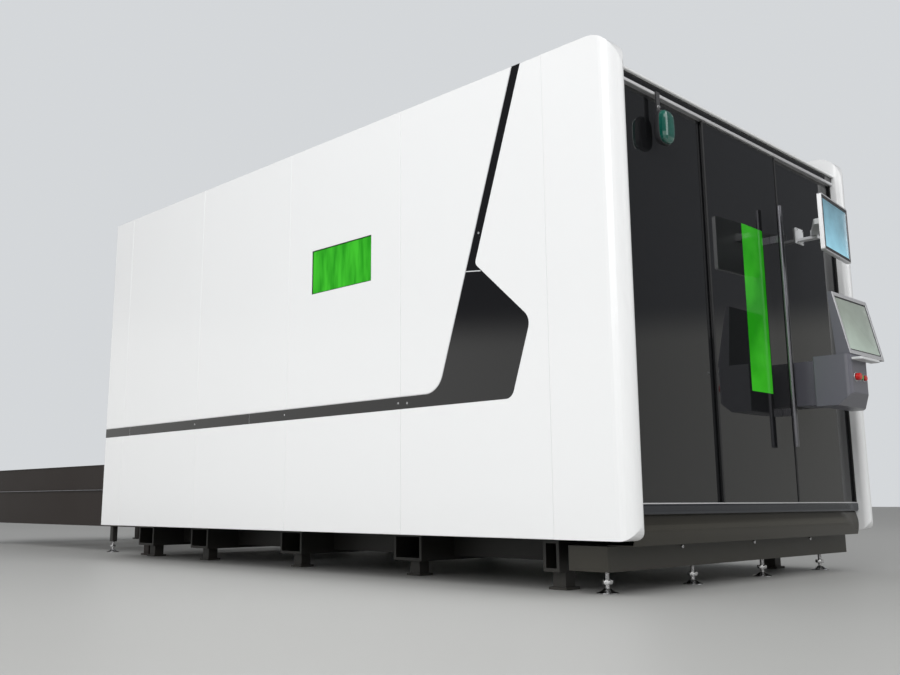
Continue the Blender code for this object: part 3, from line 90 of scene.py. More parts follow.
def newGroup(name, inputs, outputs):
    tree = bpy.data.node_groups.new(name, "ShaderNodeTree")
    for label, kind, value in inputs:
        socket = tree.interface.new_socket(label, in_out="INPUT", socket_type=kind)
        socket.default_value = value
    for label, kind in outputs:
        tree.interface.new_socket(label, in_out="OUTPUT", socket_type=kind)
    return tree, tree.nodes.new("NodeGroupInput"), tree.nodes.new("NodeGroupOutput")


def addNode(tree, kind, **settings):
    node = tree.nodes.new(kind)
    for key, value in settings.items():
        setattr(node, key, value)
    return node


def feed(tree, socket, value):
    # an input takes a plain number, a colour or another node's output
    if isinstance(value, (int, float)):
        socket.default_value = value
    elif isinstance(value, tuple):
        socket.default_value = (*value, 1.0)
    else:
        tree.links.new(value, socket)


def addMath(tree, operation, *values, clamp=False):
    node = addNode(tree, "ShaderNodeMath", operation=operation, use_clamp=clamp)
    for socket, value in zip(node.inputs, values):
        feed(tree, socket, value)
    return node.outputs[0]


def mixColour(tree, factor, one, two):
    node = addNode(tree, "ShaderNodeMix", data_type="RGBA")
    for index, value in ((0, factor), (6, one), (7, two)):
        feed(tree, node.inputs[index], value)
    return node.outputs[2]


def noise(tree, vector, scale, detail=3.0, roughness=0.5):
    node = addNode(tree, "ShaderNodeTexNoise")
    node.inputs["Detail"].default_value = detail
    node.inputs["Roughness"].default_value = roughness
    feed(tree, node.inputs["Scale"], scale)
    tree.links.new(vector, node.inputs["Vector"])
    return node.outputs["Fac"]


def makePaintGroup():
    # Paint: fine orange peel as a height, slow cloudiness as a mask
    tree, start, end = newGroup("paintFilm",
                                [("Peel Scale", "NodeSocketFloat", 260.0),
                                 ("Cloud Scale", "NodeSocketFloat", 1.2)],
                                [("Height", "NodeSocketFloat"), ("Cloud", "NodeSocketFloat")])
    place = addNode(tree, "ShaderNodeTexCoord").outputs["Object"]
    tree.links.new(noise(tree, place, start.outputs["Peel Scale"], 1.0), end.inputs["Height"])
    tree.links.new(noise(tree, place, start.outputs["Cloud Scale"], 4.0), end.inputs["Cloud"])
    return tree


def makeDustGroup():
    # Dust: thick near the floor and on faces that look up, broken by noise
    tree, start, end = newGroup("shopDust",
                                [("Reach", "NodeSocketFloat", 0.5),
                                 ("Amount", "NodeSocketFloat", 0.3),
                                 ("Scale", "NodeSocketFloat", 9.0)],
                                [("Mask", "NodeSocketFloat")])
    place = addNode(tree, "ShaderNodeTexCoord").outputs["Object"]
    split = addNode(tree, "ShaderNodeSeparateXYZ")
    tree.links.new(place, split.inputs[0])
    low = addMath(tree, "DIVIDE", split.outputs["Z"], start.outputs["Reach"])
    low = addMath(tree, "SUBTRACT", 1.0, low, clamp=True)
    low = addMath(tree, "POWER", low, 1.6)
    geometry = addNode(tree, "ShaderNodeNewGeometry")
    lookUp = addNode(tree, "ShaderNodeSeparateXYZ")
    tree.links.new(geometry.outputs["Normal"], lookUp.inputs[0])
    up = addMath(tree, "POWER", addMath(tree, "MAXIMUM", lookUp.outputs["Z"], 0.0), 3.0)
    both = addMath(tree, "MAXIMUM", low, addMath(tree, "MULTIPLY", up, 0.7))
    speck = noise(tree, place, start.outputs["Scale"], 6.0, 0.65)
    speck = addMath(tree, "MULTIPLY_ADD", speck, 1.6, -0.3)
    mask = addMath(tree, "MULTIPLY", both, speck, clamp=True)
    mask = addMath(tree, "MULTIPLY", mask, start.outputs["Amount"], clamp=True)
    tree.links.new(mask, end.inputs["Mask"])
    return tree


def makeEdgeGroup():
    # Edges: how far the rounded normal leans away from the flat one, and the rounded normal itself
    tree, start, end = newGroup("easedEdge",
                                [("Radius", "NodeSocketFloat", 0.002),
                                 ("Contrast", "NodeSocketFloat", 3.0)],
                                [("Mask", "NodeSocketFloat"), ("Normal", "NodeSocketVector")])
    bevel = addNode(tree, "ShaderNodeBevel", samples=4)
    tree.links.new(start.outputs["Radius"], bevel.inputs["Radius"])
    geometry = addNode(tree, "ShaderNodeNewGeometry")
    dot = addNode(tree, "ShaderNodeVectorMath", operation="DOT_PRODUCT")
    tree.links.new(bevel.outputs[0], dot.inputs[0])
    tree.links.new(geometry.outputs["Normal"], dot.inputs[1])
    lean = addMath(tree, "SUBTRACT", 1.0, dot.outputs["Value"])
    mask = addMath(tree, "MULTIPLY", lean, start.outputs["Contrast"], clamp=True)
    tree.links.new(mask, end.inputs["Mask"])
    tree.links.new(bevel.outputs[0], end.inputs["Normal"])
    return tree


def makeBrushGroup():
    # Brushed metal: noise drawn out into long lines along one direction
    tree, start, end = newGroup("brushLines",
                                [("Stretch", "NodeSocketVector", (4.0, 400.0, 400.0))],
                                [("Lines", "NodeSocketFloat")])
    place = addNode(tree, "ShaderNodeTexCoord").outputs["Object"]
    scaled = addNode(tree, "ShaderNodeVectorMath", operation="MULTIPLY")
    tree.links.new(place, scaled.inputs[0])
    tree.links.new(start.outputs["Stretch"], scaled.inputs[1])
    tree.links.new(noise(tree, scaled.outputs[0], 1.0, 2.0), end.inputs["Lines"])
    return tree


paintGroup = makePaintGroup()
dustGroup = makeDustGroup()
edgeGroup = makeEdgeGroup()
brushGroup = makeBrushGroup()
print("shader groups ready")


# Materials

def startMaterial(name, sockets):
    # a Principled material whose even values sit on the shader's own sockets
    material = bpy.data.materials.new(name)
    material.use_nodes = True
    shader = material.node_tree.nodes["Principled BSDF"]
    for label, value in sockets.items():
        shader.inputs[label].default_value = value
    return material, material.node_tree, shader


def useGroup(tree, group, **values):
    node = addNode(tree, "ShaderNodeGroup", node_tree=group)
    for label, value in values.items():
        node.inputs[label.replace("_", " ")].default_value = value
    return node


def addBump(tree, shader, height, strength, distance, normal=None):
    bump = addNode(tree, "ShaderNodeBump")
    bump.inputs["Strength"].default_value = strength
    bump.inputs["Distance"].default_value = distance
    tree.links.new(height, bump.inputs["Height"])
    if normal:
        tree.links.new(normal, bump.inputs["Normal"])
    tree.links.new(bump.outputs[0], shader.inputs["Normal"])


def spread(tree, value, low, high):
    # map 0..1 onto low..high
    node = addNode(tree, "ShaderNodeMapRange")
    node.inputs["To Min"].default_value = low
    node.inputs["To Max"].default_value = high
    tree.links.new(value, node.inputs["Value"])
    return node.outputs["Result"]


def paintedFinish(name, look):
    # sprayed paint: cloudiness, peel, dust near the floor, worn and rounded edges
    material, tree, shader = startMaterial(name, {
        "Metallic": look.get("metallic", 0.0),
        "Coat Weight": look.get("coat", 0.0),
        "Coat Roughness": 0.08,
    })
    film = useGroup(tree, paintGroup, Peel_Scale=look.get("peelScale", 260.0),
                    Cloud_Scale=look.get("cloudScale", 1.2))
    dust = useGroup(tree, dustGroup, Reach=look.get("dustReach", 0.45),
                    Amount=look.get("dust", 0.2), Scale=9.0)
    edge = useGroup(tree, edgeGroup, Radius=look.get("edge", 0.002), Contrast=2.5)
    base = look["colour"]
    dark = tuple(part * (1 - look.get("cloud", 0.03)) for part in base)
    colour = mixColour(tree, film.outputs["Cloud"], dark, base)
    worn = addMath(tree, "MULTIPLY", edge.outputs["Mask"], look.get("wear", 0.15))
    colour = mixColour(tree, worn, colour, look.get("wornColour", base))
    colour = mixColour(tree, dust.outputs["Mask"], colour, look.get("dustColour", (0.42, 0.39, 0.34)))
    tree.links.new(colour, shader.inputs["Base Color"])
    low, high = look["roughness"]
    rough = spread(tree, film.outputs["Cloud"], low, high)
    rough = addMath(tree, "ADD", rough, addMath(tree, "MULTIPLY", dust.outputs["Mask"], 0.5),
                    clamp=True)
    tree.links.new(rough, shader.inputs["Roughness"])
    addBump(tree, shader, film.outputs["Height"], look.get("peel", 0.05), 0.001,
            edge.outputs["Normal"])
    return material


def metalFinish(name, look):
    # ground, brushed or plated metal: drawn lines in roughness and height, worn edges
    material, tree, shader = startMaterial(name, {"Metallic": look.get("metallic", 1.0)})
    lines = useGroup(tree, brushGroup, Stretch=look["stretch"])
    edge = useGroup(tree, edgeGroup, Radius=0.0012, Contrast=3.0)
    dust = useGroup(tree, dustGroup, Reach=0.2, Amount=look.get("dust", 0.15), Scale=20.0)
    base = look["colour"]
    dark = tuple(part * look.get("shade", 0.8) for part in base)
    colour = mixColour(tree, lines.outputs["Lines"], dark, base)
    bright = tuple(min(1.0, part * 1.25) for part in base)
    worn = addMath(tree, "MULTIPLY", edge.outputs["Mask"], 0.5)
    colour = mixColour(tree, worn, colour, bright)
    colour = mixColour(tree, dust.outputs["Mask"], colour, (0.3, 0.28, 0.25))
    tree.links.new(colour, shader.inputs["Base Color"])
    low, high = look["roughness"]
    tree.links.new(spread(tree, lines.outputs["Lines"], low, high), shader.inputs["Roughness"])
    addBump(tree, shader, lines.outputs["Lines"], look.get("depth", 0.12), 0.0005,
            edge.outputs["Normal"])
    return material


def sheetFinish(name, look):
    # clear or tinted sheet: smudges in the roughness, slow ripple in the surface
    material, tree, shader = startMaterial(name, {
        "Transmission Weight": look["clear"],
        "IOR": 1.5,
        "Coat Weight": look.get("coat", 0.0),
        "Emission Strength": look.get("glow", 0.0),
    })
    film = useGroup(tree, paintGroup, Peel_Scale=2.4, Cloud_Scale=look.get("smudgeScale", 5.0))
    dust = useGroup(tree, dustGroup, Reach=0.8, Amount=look.get("dust", 0.05), Scale=12.0)
    base = look["colour"]
    # the noise's middle third is spread over the whole range
    cloud = addNode(tree, "ShaderNodeMapRange")
    cloud.inputs["From Min"].default_value = 0.35
    cloud.inputs["From Max"].default_value = 0.65
    if "highlightStreak" in look:
        # long soft bands of painted highlight: the noise is stretched along the sheet and leant over
        turn = addNode(tree, "ShaderNodeMapping")
        turn.inputs["Rotation"].default_value = (0.35, 0.0, 0.0)
        turn.inputs["Scale"].default_value = look["highlightStreak"]
        tree.links.new(addNode(tree, "ShaderNodeTexCoord").outputs["Object"], turn.inputs["Vector"])
        tree.links.new(noise(tree, turn.outputs[0], 4.0, 2.0), cloud.inputs["Value"])
    else:
        tree.links.new(film.outputs["Cloud"], cloud.inputs["Value"])
    share = cloud.outputs["Result"]
    if "rise" in look:
        # share = 1 at the lower height, 0 at the upper one, cloud added
        rise = addNode(tree, "ShaderNodeMapRange")
        rise.inputs["From Min"].default_value = look["rise"][1]
        rise.inputs["From Max"].default_value = look["rise"][0]
        spot = addNode(tree, "ShaderNodeSeparateXYZ")
        tree.links.new(addNode(tree, "ShaderNodeTexCoord").outputs["Object"], spot.inputs[0])
        tree.links.new(spot.outputs["Z"], rise.inputs["Value"])
        share = addMath(tree, "ADD", addMath(tree, "MULTIPLY", rise.outputs["Result"], 0.8),
                        addMath(tree, "MULTIPLY", share, 0.2))
    # where the share is high the lit colour comes in; on the green window it is painted highlight
    colour = mixColour(tree, share, base, look.get("litColour", base))
    # emission: on the green window this glow is painted light, on the screens it is their own light
    if "glow" in look:
        tree.links.new(colour, shader.inputs["Emission Color"])
    colour = mixColour(tree, dust.outputs["Mask"], colour, (0.3, 0.3, 0.28))
    tree.links.new(colour, shader.inputs["Base Color"])
    low, high = look["roughness"]
    tree.links.new(spread(tree, film.outputs["Cloud"], low, high), shader.inputs["Roughness"])
    addBump(tree, shader, film.outputs["Height"], look.get("ripple", 0.02), 0.01)
    return material


def grainFinish(name, look):
    # moulded plastic or rubber with a fine leathery grain
    material, tree, shader = startMaterial(name, {"Coat Weight": look.get("coat", 0.0)})
    film = useGroup(tree, paintGroup, Peel_Scale=look.get("grainScale", 900.0), Cloud_Scale=3.0)
    edge = useGroup(tree, edgeGroup, Radius=0.0015, Contrast=2.0)
    base = look["colour"]
    dark = tuple(part * 0.9 for part in base)
    colour = mixColour(tree, film.outputs["Cloud"], dark, base)
    tree.links.new(colour, shader.inputs["Base Color"])
    low, high = look["roughness"]
    tree.links.new(spread(tree, film.outputs["Cloud"], low, high), shader.inputs["Roughness"])
    addBump(tree, shader, film.outputs["Height"], look.get("grain", 0.15), 0.0006,
            edge.outputs["Normal"])
    return material


finish = {
    "white_enamel": paintedFinish("whiteEnamel", {
        "colour": (0.825, 0.83, 0.83), "cloud": 0.02, "roughness": (0.26, 0.34), "coat": 0.2,
        "peel": 0.04, "peelScale": 320.0, "dust": 0.14, "dustReach": 0.5, "wear": 0.0,
        "dustColour": (0.66, 0.62, 0.56), "edge": 0.003}),
    "black_gloss": paintedFinish("blackGloss", {
        "colour": (0.006, 0.006, 0.007), "cloud": 0.2, "roughness": (0.05, 0.09),
        "peel": 0.012, "dust": 0.03, "edge": 0.001, "wear": 0.05}),
    "frame_black": paintedFinish("frameBlack", {
        "colour": (0.018, 0.0175, 0.0155), "cloud": 0.3, "roughness": (0.42, 0.58), "peel": 0.12,
        "dust": 0.3, "dustReach": 0.25, "dustColour": (0.09, 0.08, 0.065), "wear": 0.3,
        "wornColour": (0.07, 0.065, 0.06), "edge": 0.002}),
    "base_bronze": paintedFinish("bronzePaint", {
        "colour": (0.030, 0.027, 0.019), "cloud": 0.3, "roughness": (0.12, 0.22),
        "metallic": 0.2, "peel": 0.06, "dust": 0.22, "dustReach": 0.5,
        "dustColour": (0.13, 0.11, 0.085), "wear": 0.2, "wornColour": (0.09, 0.08, 0.07)}),
    "changer_paint": paintedFinish("umberPaint", {
        "colour": (0.021, 0.014, 0.011), "cloud": 0.25, "roughness": (0.55, 0.72), "peel": 0.12,
        "dust": 0.15, "dustReach": 0.7, "dustColour": (0.075, 0.06, 0.05), "wear": 0.35,
        "wornColour": (0.1, 0.085, 0.075)}),
    "tinted_glass": sheetFinish("tintedGlass", {
        "colour": (0.016, 0.0165, 0.018), "roughness": (0.012, 0.035), "clear": 0.3,
        "ripple": 0.012, "dust": 0.03}),
    # the green window: its lighter leant bands are painted highlight and its glow is painted light
    "green_acrylic": sheetFinish("greenAcrylic", {
        "colour": (0.014, 0.28, 0.006), "litColour": (0.045, 0.47, 0.02), "roughness": (0.05, 0.1),
        "clear": 0.1, "smudgeScale": 1.6, "highlightStreak": (1.0, 5.0, 0.9), "glow": 0.2}),
    "brushed_aluminium": metalFinish("brushedAluminium", {
        "colour": (0.56, 0.56, 0.58), "roughness": (0.26, 0.42), "stretch": (500.0, 500.0, 6.0)}),
    "chromed_steel": metalFinish("chromedSteel", {
        "colour": (0.74, 0.74, 0.75), "roughness": (0.08, 0.18), "stretch": (60.0, 60.0, 60.0),
        "depth": 0.02, "dust": 0.3}),
    "console_grey": paintedFinish("consoleGrey", {
        "colour": (0.125, 0.125, 0.148), "cloud": 0.08, "roughness": (0.26, 0.38), "peel": 0.16,
        "peelScale": 900.0, "dust": 0.05, "wear": 0.2, "wornColour": (0.25, 0.25, 0.28)}),
    "light_plastic": grainFinish("lightPlastic", {
        "colour": (0.66, 0.67, 0.68), "roughness": (0.35, 0.48)}),
    "teal_lens": sheetFinish("tealLens", {
        "colour": (0.003, 0.075, 0.055), "litColour": (0.008, 0.13, 0.095),
        "roughness": (0.03, 0.07), "clear": 0.1, "smudgeScale": 14.0, "coat": 1.0,
        "dust": 0.0}),
    "machined_steel": metalFinish("machinedSteel", {
        "colour": (0.38, 0.38, 0.39), "roughness": (0.24, 0.4), "stretch": (400.0, 5.0, 400.0)}),
    "slat_steel": metalFinish("slatSteel", {
        "colour": (0.23, 0.2, 0.17), "roughness": (0.4, 0.7), "stretch": (9.0, 9.0, 9.0),
        "shade": 0.45, "depth": 0.3}),
    "bed_grey": paintedFinish("bedGrey", {
        "colour": (0.25, 0.27, 0.29), "cloud": 0.1, "roughness": (0.4, 0.55), "peel": 0.1,
        "dust": 0.4, "dustReach": 1.0, "dustColour": (0.12, 0.1, 0.08)}),
    "red_plastic": grainFinish("redPlastic", {
        "colour": (0.55, 0.015, 0.012), "roughness": (0.2, 0.3), "coat": 0.3, "grain": 0.04}),
    "green_plastic": grainFinish("greenPlastic", {
        "colour": (0.015, 0.3, 0.05), "roughness": (0.2, 0.3), "coat": 0.3, "grain": 0.04}),
    "dark_plastic": grainFinish("darkPlastic", {
        "colour": (0.028, 0.028, 0.031), "roughness": (0.4, 0.55)}),
    "rubber": grainFinish("blackRubber", {
        "colour": (0.01, 0.01, 0.011), "roughness": (0.55, 0.7), "grainScale": 600.0}),
    "handle_metal": metalFinish("anodisedGrey", {
        "colour": (0.17, 0.17, 0.185), "roughness": (0.2, 0.34), "stretch": (500.0, 500.0, 6.0)}),
    "sill_metal": metalFinish("sillMetal", {
        "colour": (0.10, 0.105, 0.118), "roughness": (0.1, 0.24), "stretch": (6.0, 500.0, 500.0)}),
    # the front beam's face: its bronze tint is paint, its lightness over the rest of the frame is painted
    # light where it faces the front lamp
    "beam_bronze_lit": paintedFinish("beamBronzeLit", {
        "colour": (0.026, 0.0235, 0.016), "cloud": 0.45, "cloudScale": 3.0,
        "roughness": (0.34, 0.5), "peel": 0.1, "dust": 0.22, "dustReach": 0.3,
        "dustColour": (0.08, 0.07, 0.052), "wear": 0.3, "wornColour": (0.09, 0.08, 0.07)}),
    "bezel_silver": metalFinish("bezelSilver", {
        "colour": (0.72, 0.72, 0.73), "roughness": (0.3, 0.42), "stretch": (300.0, 300.0, 20.0),
        "metallic": 0.6}),
    "copper": metalFinish("nozzleCopper", {
        "colour": (0.72, 0.33, 0.18), "roughness": (0.18, 0.32), "stretch": (300.0, 300.0, 900.0)}),
    "ceramic": grainFinish("whiteCeramic", {
        "colour": (0.78, 0.76, 0.71), "roughness": (0.3, 0.45), "grain": 0.03}),
    "upper_screen": sheetFinish("upperScreen", {
        "colour": (0.08, 0.16, 0.205), "litColour": (0.32, 0.63, 0.77), "roughness": (0.1, 0.18),
        "clear": 0.0, "smudgeScale": 9.0, "glow": 0.3, "dust": 0.0, "rise": (1.67, 1.95)}),
    "lower_screen": sheetFinish("lowerScreen", {
        "colour": (0.26, 0.29, 0.25), "litColour": (0.45, 0.53, 0.46), "roughness": (0.12, 0.22),
        "clear": 0.0, "smudgeScale": 7.0, "glow": 0.12, "dust": 0.0, "rise": (1.12, 1.36)}),
}
repaint = {
    "door_handle": "handle_metal",
    # the door rail takes the pale silver: partly its aluminium, partly painted reflection along its edge
    "door_rail": "bezel_silver",
    "sill": "sill_metal",
    "console_screen": "console_grey",
    "upper_monitor": "bezel_silver",
}
for entry in frame["record"]["subparts"]:
    for slot in nodes[entry["node"]].material_slots:
        slot.material = finish[repaint.get(entry["node"], entry["material_slot"])]
print("finishes on", len(nodes), "nodes")


# Meshes are skins drawn through rings of points

def skin(rings, closed=False):
    # rings of equal length joined by quads; the ends are flat, or the last ring meets the first
    rings = np.asarray(rings, dtype=float)
    count, wide = rings.shape[:2]
    row, column = np.meshgrid(np.arange(count if closed else count - 1), np.arange(wide),
                              indexing="ij")
    after = (column + 1) % wide
    below = (row + 1) % count
    quads = np.stack([row * wide + column, row * wide + after,
                      below * wide + after, below * wide + column], axis=-1)
    faces = quads.reshape(-1, 4).tolist()
    if not closed:
        faces += [list(range(wide)), list(range((count - 1) * wide, count * wide))]
    return rings.reshape(-1, 3), faces


def turned(profile, steps=48, closed=False):
    # a profile of (radius, height) round +Z: x = r cos a, y = r sin a; r may differ at each step
    angle = np.arange(steps) * 2 * np.pi / steps
    rings = []
    for radius, height in profile:
        radius = np.broadcast_to(radius, steps)
        rings.append(np.stack([radius * np.cos(angle), radius * np.sin(angle),
                               np.full(steps, height)], axis=-1))
    return skin(rings, closed)


def hexRadius(flats, steps=48):
    # centre to side of a hexagon: r = (flats / 2) / cos(a mod 60 - 30)
    angle = np.arange(steps) * 360 / steps % 60 - 30
    return flats / 2 / np.cos(np.radians(angle))


def roundedOutline(u0, u1, v0, v1, radius, steps=6):
    # a rectangle whose corners are quarter circles round points one radius inside
    corner = np.arange(steps + 1) * np.pi / 2 / steps
    sides = []
    for quarter, (u, v) in enumerate(((u1 - radius, v1 - radius), (u0 + radius, v1 - radius),
                                      (u0 + radius, v0 + radius), (u1 - radius, v0 + radius))):
        angle = corner + quarter * np.pi / 2
        sides.append(np.stack([u + radius * np.cos(angle), v + radius * np.sin(angle)], axis=-1))
    return np.concatenate(sides)


def easedSteps(ease, count=4):
    # (inset, drop) of a quarter-round edge: inset = e (1 - cos t), drop = e (1 - sin t)
    turn = np.linspace(0, np.pi / 2, count)
    return [(ease * (1 - math.cos(t)), ease * (1 - math.sin(t))) for t in turn]


def raised(outline, n):
    # the outline's points, all at height n
    return np.column_stack([outline, np.full(len(outline), n)])


def insetRings(u0, u1, v0, v1, radius, levels):
    # for each (inset, n) the rounded rectangle drawn in by the inset, at height n
    rings = []
    for inset, n in levels:
        outline = roundedOutline(u0 + inset, u1 - inset, v0 + inset, v1 - inset,
                                 max(radius - inset, 0.00002))
        rings.append(raised(outline, n))
    return rings


def slab(u0, u1, v0, v1, n0, n1, radius, ease):
    # a sheet from n0 up to n1 with rounded corners and an eased upper edge
    levels = [(0.0, n0)] + [(inset, n1 - drop) for inset, drop in easedSteps(ease)]
    return skin(insetRings(u0, u1, v0, v1, radius, levels))


def gasket(u0, u1, v0, v1, wide, n0, n1, radius, ease):
    # a closed frame whose section is a strip with eased upper edges
    outer = [(inset, n1 - drop) for inset, drop in easedSteps(ease)]
    inner = [(wide - inset, n1 - drop) for inset, drop in reversed(easedSteps(ease))]
    levels = [(0.0, n0)] + outer + inner + [(wide, n0)]
    return skin(insetRings(u0, u1, v0, v1, radius, levels), closed=True)


def bar(outline, low, high, ease):
    # an outline in (u, v) drawn along n, its two ends eased towards the outline's middle
    outline = np.asarray(outline, dtype=float)
    middle = outline.mean(axis=0)
    size = np.abs(outline - middle).max()
    levels = [(inset, low + drop) for inset, drop in reversed(easedSteps(ease))]
    levels += [(inset, high - drop) for inset, drop in easedSteps(ease)]
    rings = []
    for inset, n in levels:
        rings.append(raised(middle + (outline - middle) * (1 - inset / size), n))
    return skin(rings)


def strip(outline, low, high):
    # an outline in (u, v) drawn along n with square ends
    return skin([raised(outline, n) for n in (low, high)])


def ribbon(path, wide, low, high):
    # a strip of even width along an open path in (u, v): offset = half the width along the normal
    path = np.asarray(path, dtype=float)
    along = np.gradient(path, axis=0)
    along /= np.linalg.norm(along, axis=1, keepdims=True)
    across = np.column_stack([-along[:, 1], along[:, 0]]) * wide / 2
    return strip(np.concatenate([path + across, (path - across)[::-1]]), low, high)


def placed(part, origin, right=(1, 0, 0), up=(0, 1, 0)):
    # from (u, v, n) to the machine's frame: origin + u right + v up + n (right x up)
    points, faces = part
    right = np.asarray(right, dtype=float)
    up = np.asarray(up, dtype=float)
    axes = np.stack([right, up, np.cross(right, up)])
    return np.asarray(origin, dtype=float) + points @ axes, faces


def addObject(name, data):
    obj = bpy.data.objects.new(name, data)
    bpy.context.scene.collection.objects.link(obj)
    return obj


def makePiece(name, look, body, parts):
    # one mesh from several parts, smooth up to 35 degrees, finished and carried by a body
    points = []
    faces = []
    count = 0
    for part in parts:
        points.append(part[0])
        faces += [[index + count for index in face] for face in part[1]]
        count += len(part[0])
    data = bpy.data.meshes.new(name)
    data.from_pydata(np.concatenate(points).tolist(), [], faces)
    shape = bmesh.new()
    shape.from_mesh(data)
    bmesh.ops.recalc_face_normals(shape, faces=shape.faces)
    shape.to_mesh(data)
    shape.free()
    data.shade_smooth()
    data.set_sharp_from_angle(angle=math.radians(35))
    data.materials.append(finish[look])
    obj = addObject(name, data)
    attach(obj, body)
    return obj


facing = {
    "up": ((1, 0, 0), (0, 1, 0)),
    "down": ((1, 0, 0), (0, -1, 0)),
    "front": ((1, 0, 0), (0, 0, 1)),
    "back": ((-1, 0, 0), (0, 0, 1)),
    "left": ((0, -1, 0), (0, 0, 1)),
    "right": ((0, 1, 0), (0, 0, 1)),
}


# Fixings

def socketBolt(place, way, radius, height):
    # round head with a hexagon socket
    socket = hexRadius(radius * 0.95)
    profile = [(radius * 0.6, -0.001), (radius, -0.0005), (radius, height * 0.55),
               (radius * 0.95, height * 0.85), (radius * 0.85, height), (socket, height),
               (socket * 0.96, height * 0.4)]
    return placed(turned(profile), place, *facing[way])


def hexBolt(place, way, flats, height):
    # hexagon head with its corners chamfered, on a washer
    head = hexRadius(flats)
    washer = flats * 0.68
    profile = [(washer, -0.001), (washer, height * 0.16), (washer * 0.98, height * 0.2),
               (head, height * 0.2), (head, height * 0.85),
               (np.minimum(head, flats * 0.5), height)]
    return placed(turned(profile), place, *facing[way])


def flatScrew(place, way, radius, proud):
    # countersunk screw, all but flush, with a hexagon socket
    socket = hexRadius(radius * 0.9)
    profile = [(radius, -0.001), (radius, 0.0), (radius * 0.94, proud), (socket, proud),
               (socket * 0.96, -0.0012)]
    return placed(turned(profile), place, *facing[way])


def rows(count, low, high):
    # even places from low to high
    return np.linspace(low, high, count)


# Levelling feet

footSet = {
    "nodes": ("levelling_foot_1", "levelling_foot_2", "levelling_foot_3", "levelling_foot_4",
              "changer_foot_left", "changer_foot_right"),
    "dish": [(0.046, 0.0), (0.048, 0.0012), (0.048, 0.0038), (0.0472, 0.0048), (0.0415, 0.0062),
             (0.034, 0.0085), (0.0265, 0.0122), (0.0205, 0.0165), (0.0172, 0.0198),
             (0.016, 0.0218), (0.0145, 0.0222)],
    "studOuter": 0.01,
    "studInner": 0.0087,
    "studLow": 0.0226,
    "pitch": 0.0025,
    "nutLow": 0.04,
    "nutHigh": 0.058,
    "nutFlats": 0.0416,
    "nutEase": 0.0022,
}


def threadProfile(low, high):
    # ridges of a thread: the radius swings between crest and root at every half pitch
    count = int((high - low) / footSet["pitch"])
    profile = []
    for index in range(count):
        z = low + footSet["pitch"] * index
        profile += [(footSet["studInner"], z), (footSet["studOuter"], z + footSet["pitch"] / 2)]
    return profile + [(footSet["studInner"], high)]


def makeFeet():
    inner = footSet["studInner"]
    nutLow = footSet["nutLow"]
    nutHigh = footSet["nutHigh"]
    ease = footSet["nutEase"]
    chamfer = footSet["nutFlats"] / 2
    flats = hexRadius(footSet["nutFlats"])
    nut = [(inner, nutLow), (chamfer, nutLow), (flats, nutLow + ease), (flats, nutHigh - ease),
           (chamfer, nutHigh), (inner, nutHigh)]
    for node in footSet["nodes"]:
        low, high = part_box(node)
        centre = ((low.x + high.x) / 2, (low.y + high.y) / 2, 0.0)
        stem = footSet["dish"] + threadProfile(footSet["studLow"], high.z)
        parts = [placed(turned(stem), centre), placed(turned(nut), centre)]
        foot = makePiece(node + "_turned", "chromed_steel", "machine", parts)
        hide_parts(node)


# Front: seals, a silver sill edge that is partly painted highlight, door edges

frontSet = {
    "sealWide": 0.0075,
    "sealDepth": 0.013,
    "sealGap": 0.0003,
    "sillEdge": 0.0045,
    "doorEdgeWide": 0.014,
    "doorEdgeProud": 0.0035,
    "doorEdgeShort": 0.002,
    "lap": 0.001,           # how far an edge reaches into what carries it
    "cornerShare": 0.45,    # corner radius as a share of the seal's width
}


def makeFront():
    low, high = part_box("glass_left")
    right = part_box("glass_right")[1].x
    wide = frontSet["sealWide"]
    deep = frontSet["sealDepth"]
    gap = frontSet["sealGap"]
    lap = frontSet["lap"]
    seals = []
    for x0, x1 in ((low.x, low.x + wide), (right - wide, right)):
        for y0, y1 in ((low.y - deep, low.y - gap), (high.y + gap, high.y + deep)):
            outline = roundedOutline(x0, x1, y0, y1, wide * frontSet["cornerShare"])
            seals.append(bar(outline, low.z, high.z, 0.001))
    makePiece("glass_seals", "rubber", "machine", seals)

    low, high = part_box("sill")
    edge = frontSet["sillEdge"]
    outline = roundedOutline(low.y + lap, low.y + edge, high.z - edge, high.z + lap, 0.001, 3)
    trim = placed(bar(outline, low.x, high.x, 0.0005), (0, 0, 0), (0, 1, 0), (0, 0, 1))
    # a bright silver strip on the sill's top front edge: partly a polished trim, partly painted highlight
    # of that edge
    makePiece("sill_edge_highlight", "bezel_silver", "machine", [trim])

    low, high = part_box("sliding_door")
    wide = frontSet["doorEdgeWide"]
    proud = frontSet["doorEdgeProud"]
    short = frontSet["doorEdgeShort"]
    edges = []
    for x0, x1 in ((low.x, low.x + wide), (high.x - wide, high.x)):
        outline = roundedOutline(x0, x1, low.y - proud, low.y + lap,
                                 proud * frontSet["cornerShare"])
        edges.append(bar(outline, low.z + short, high.z - short, 0.001))
    makePiece("door_edges", "rubber", "door", edges)


# Signal lamp: housing round the lens, bolt of the strap

lampSet = {
    "bend": 3.2,            # 2 gives an ellipse, more gives fuller corners
    "steps": 64,
    # scale of the outline and share of the depth, from the back to the front
    "rings": ((0.82, 0.98), (0.95, 0.93), (1.0, 0.8), (1.06, 0.55), (1.06, 0.04), (1.03, 0.0),
              (0.97, 0.0)),
    "bolt": (-0.815, -3.65215, 2.205),
    "boltFlats": 0.014,
    "boltHeight": 0.007,
}


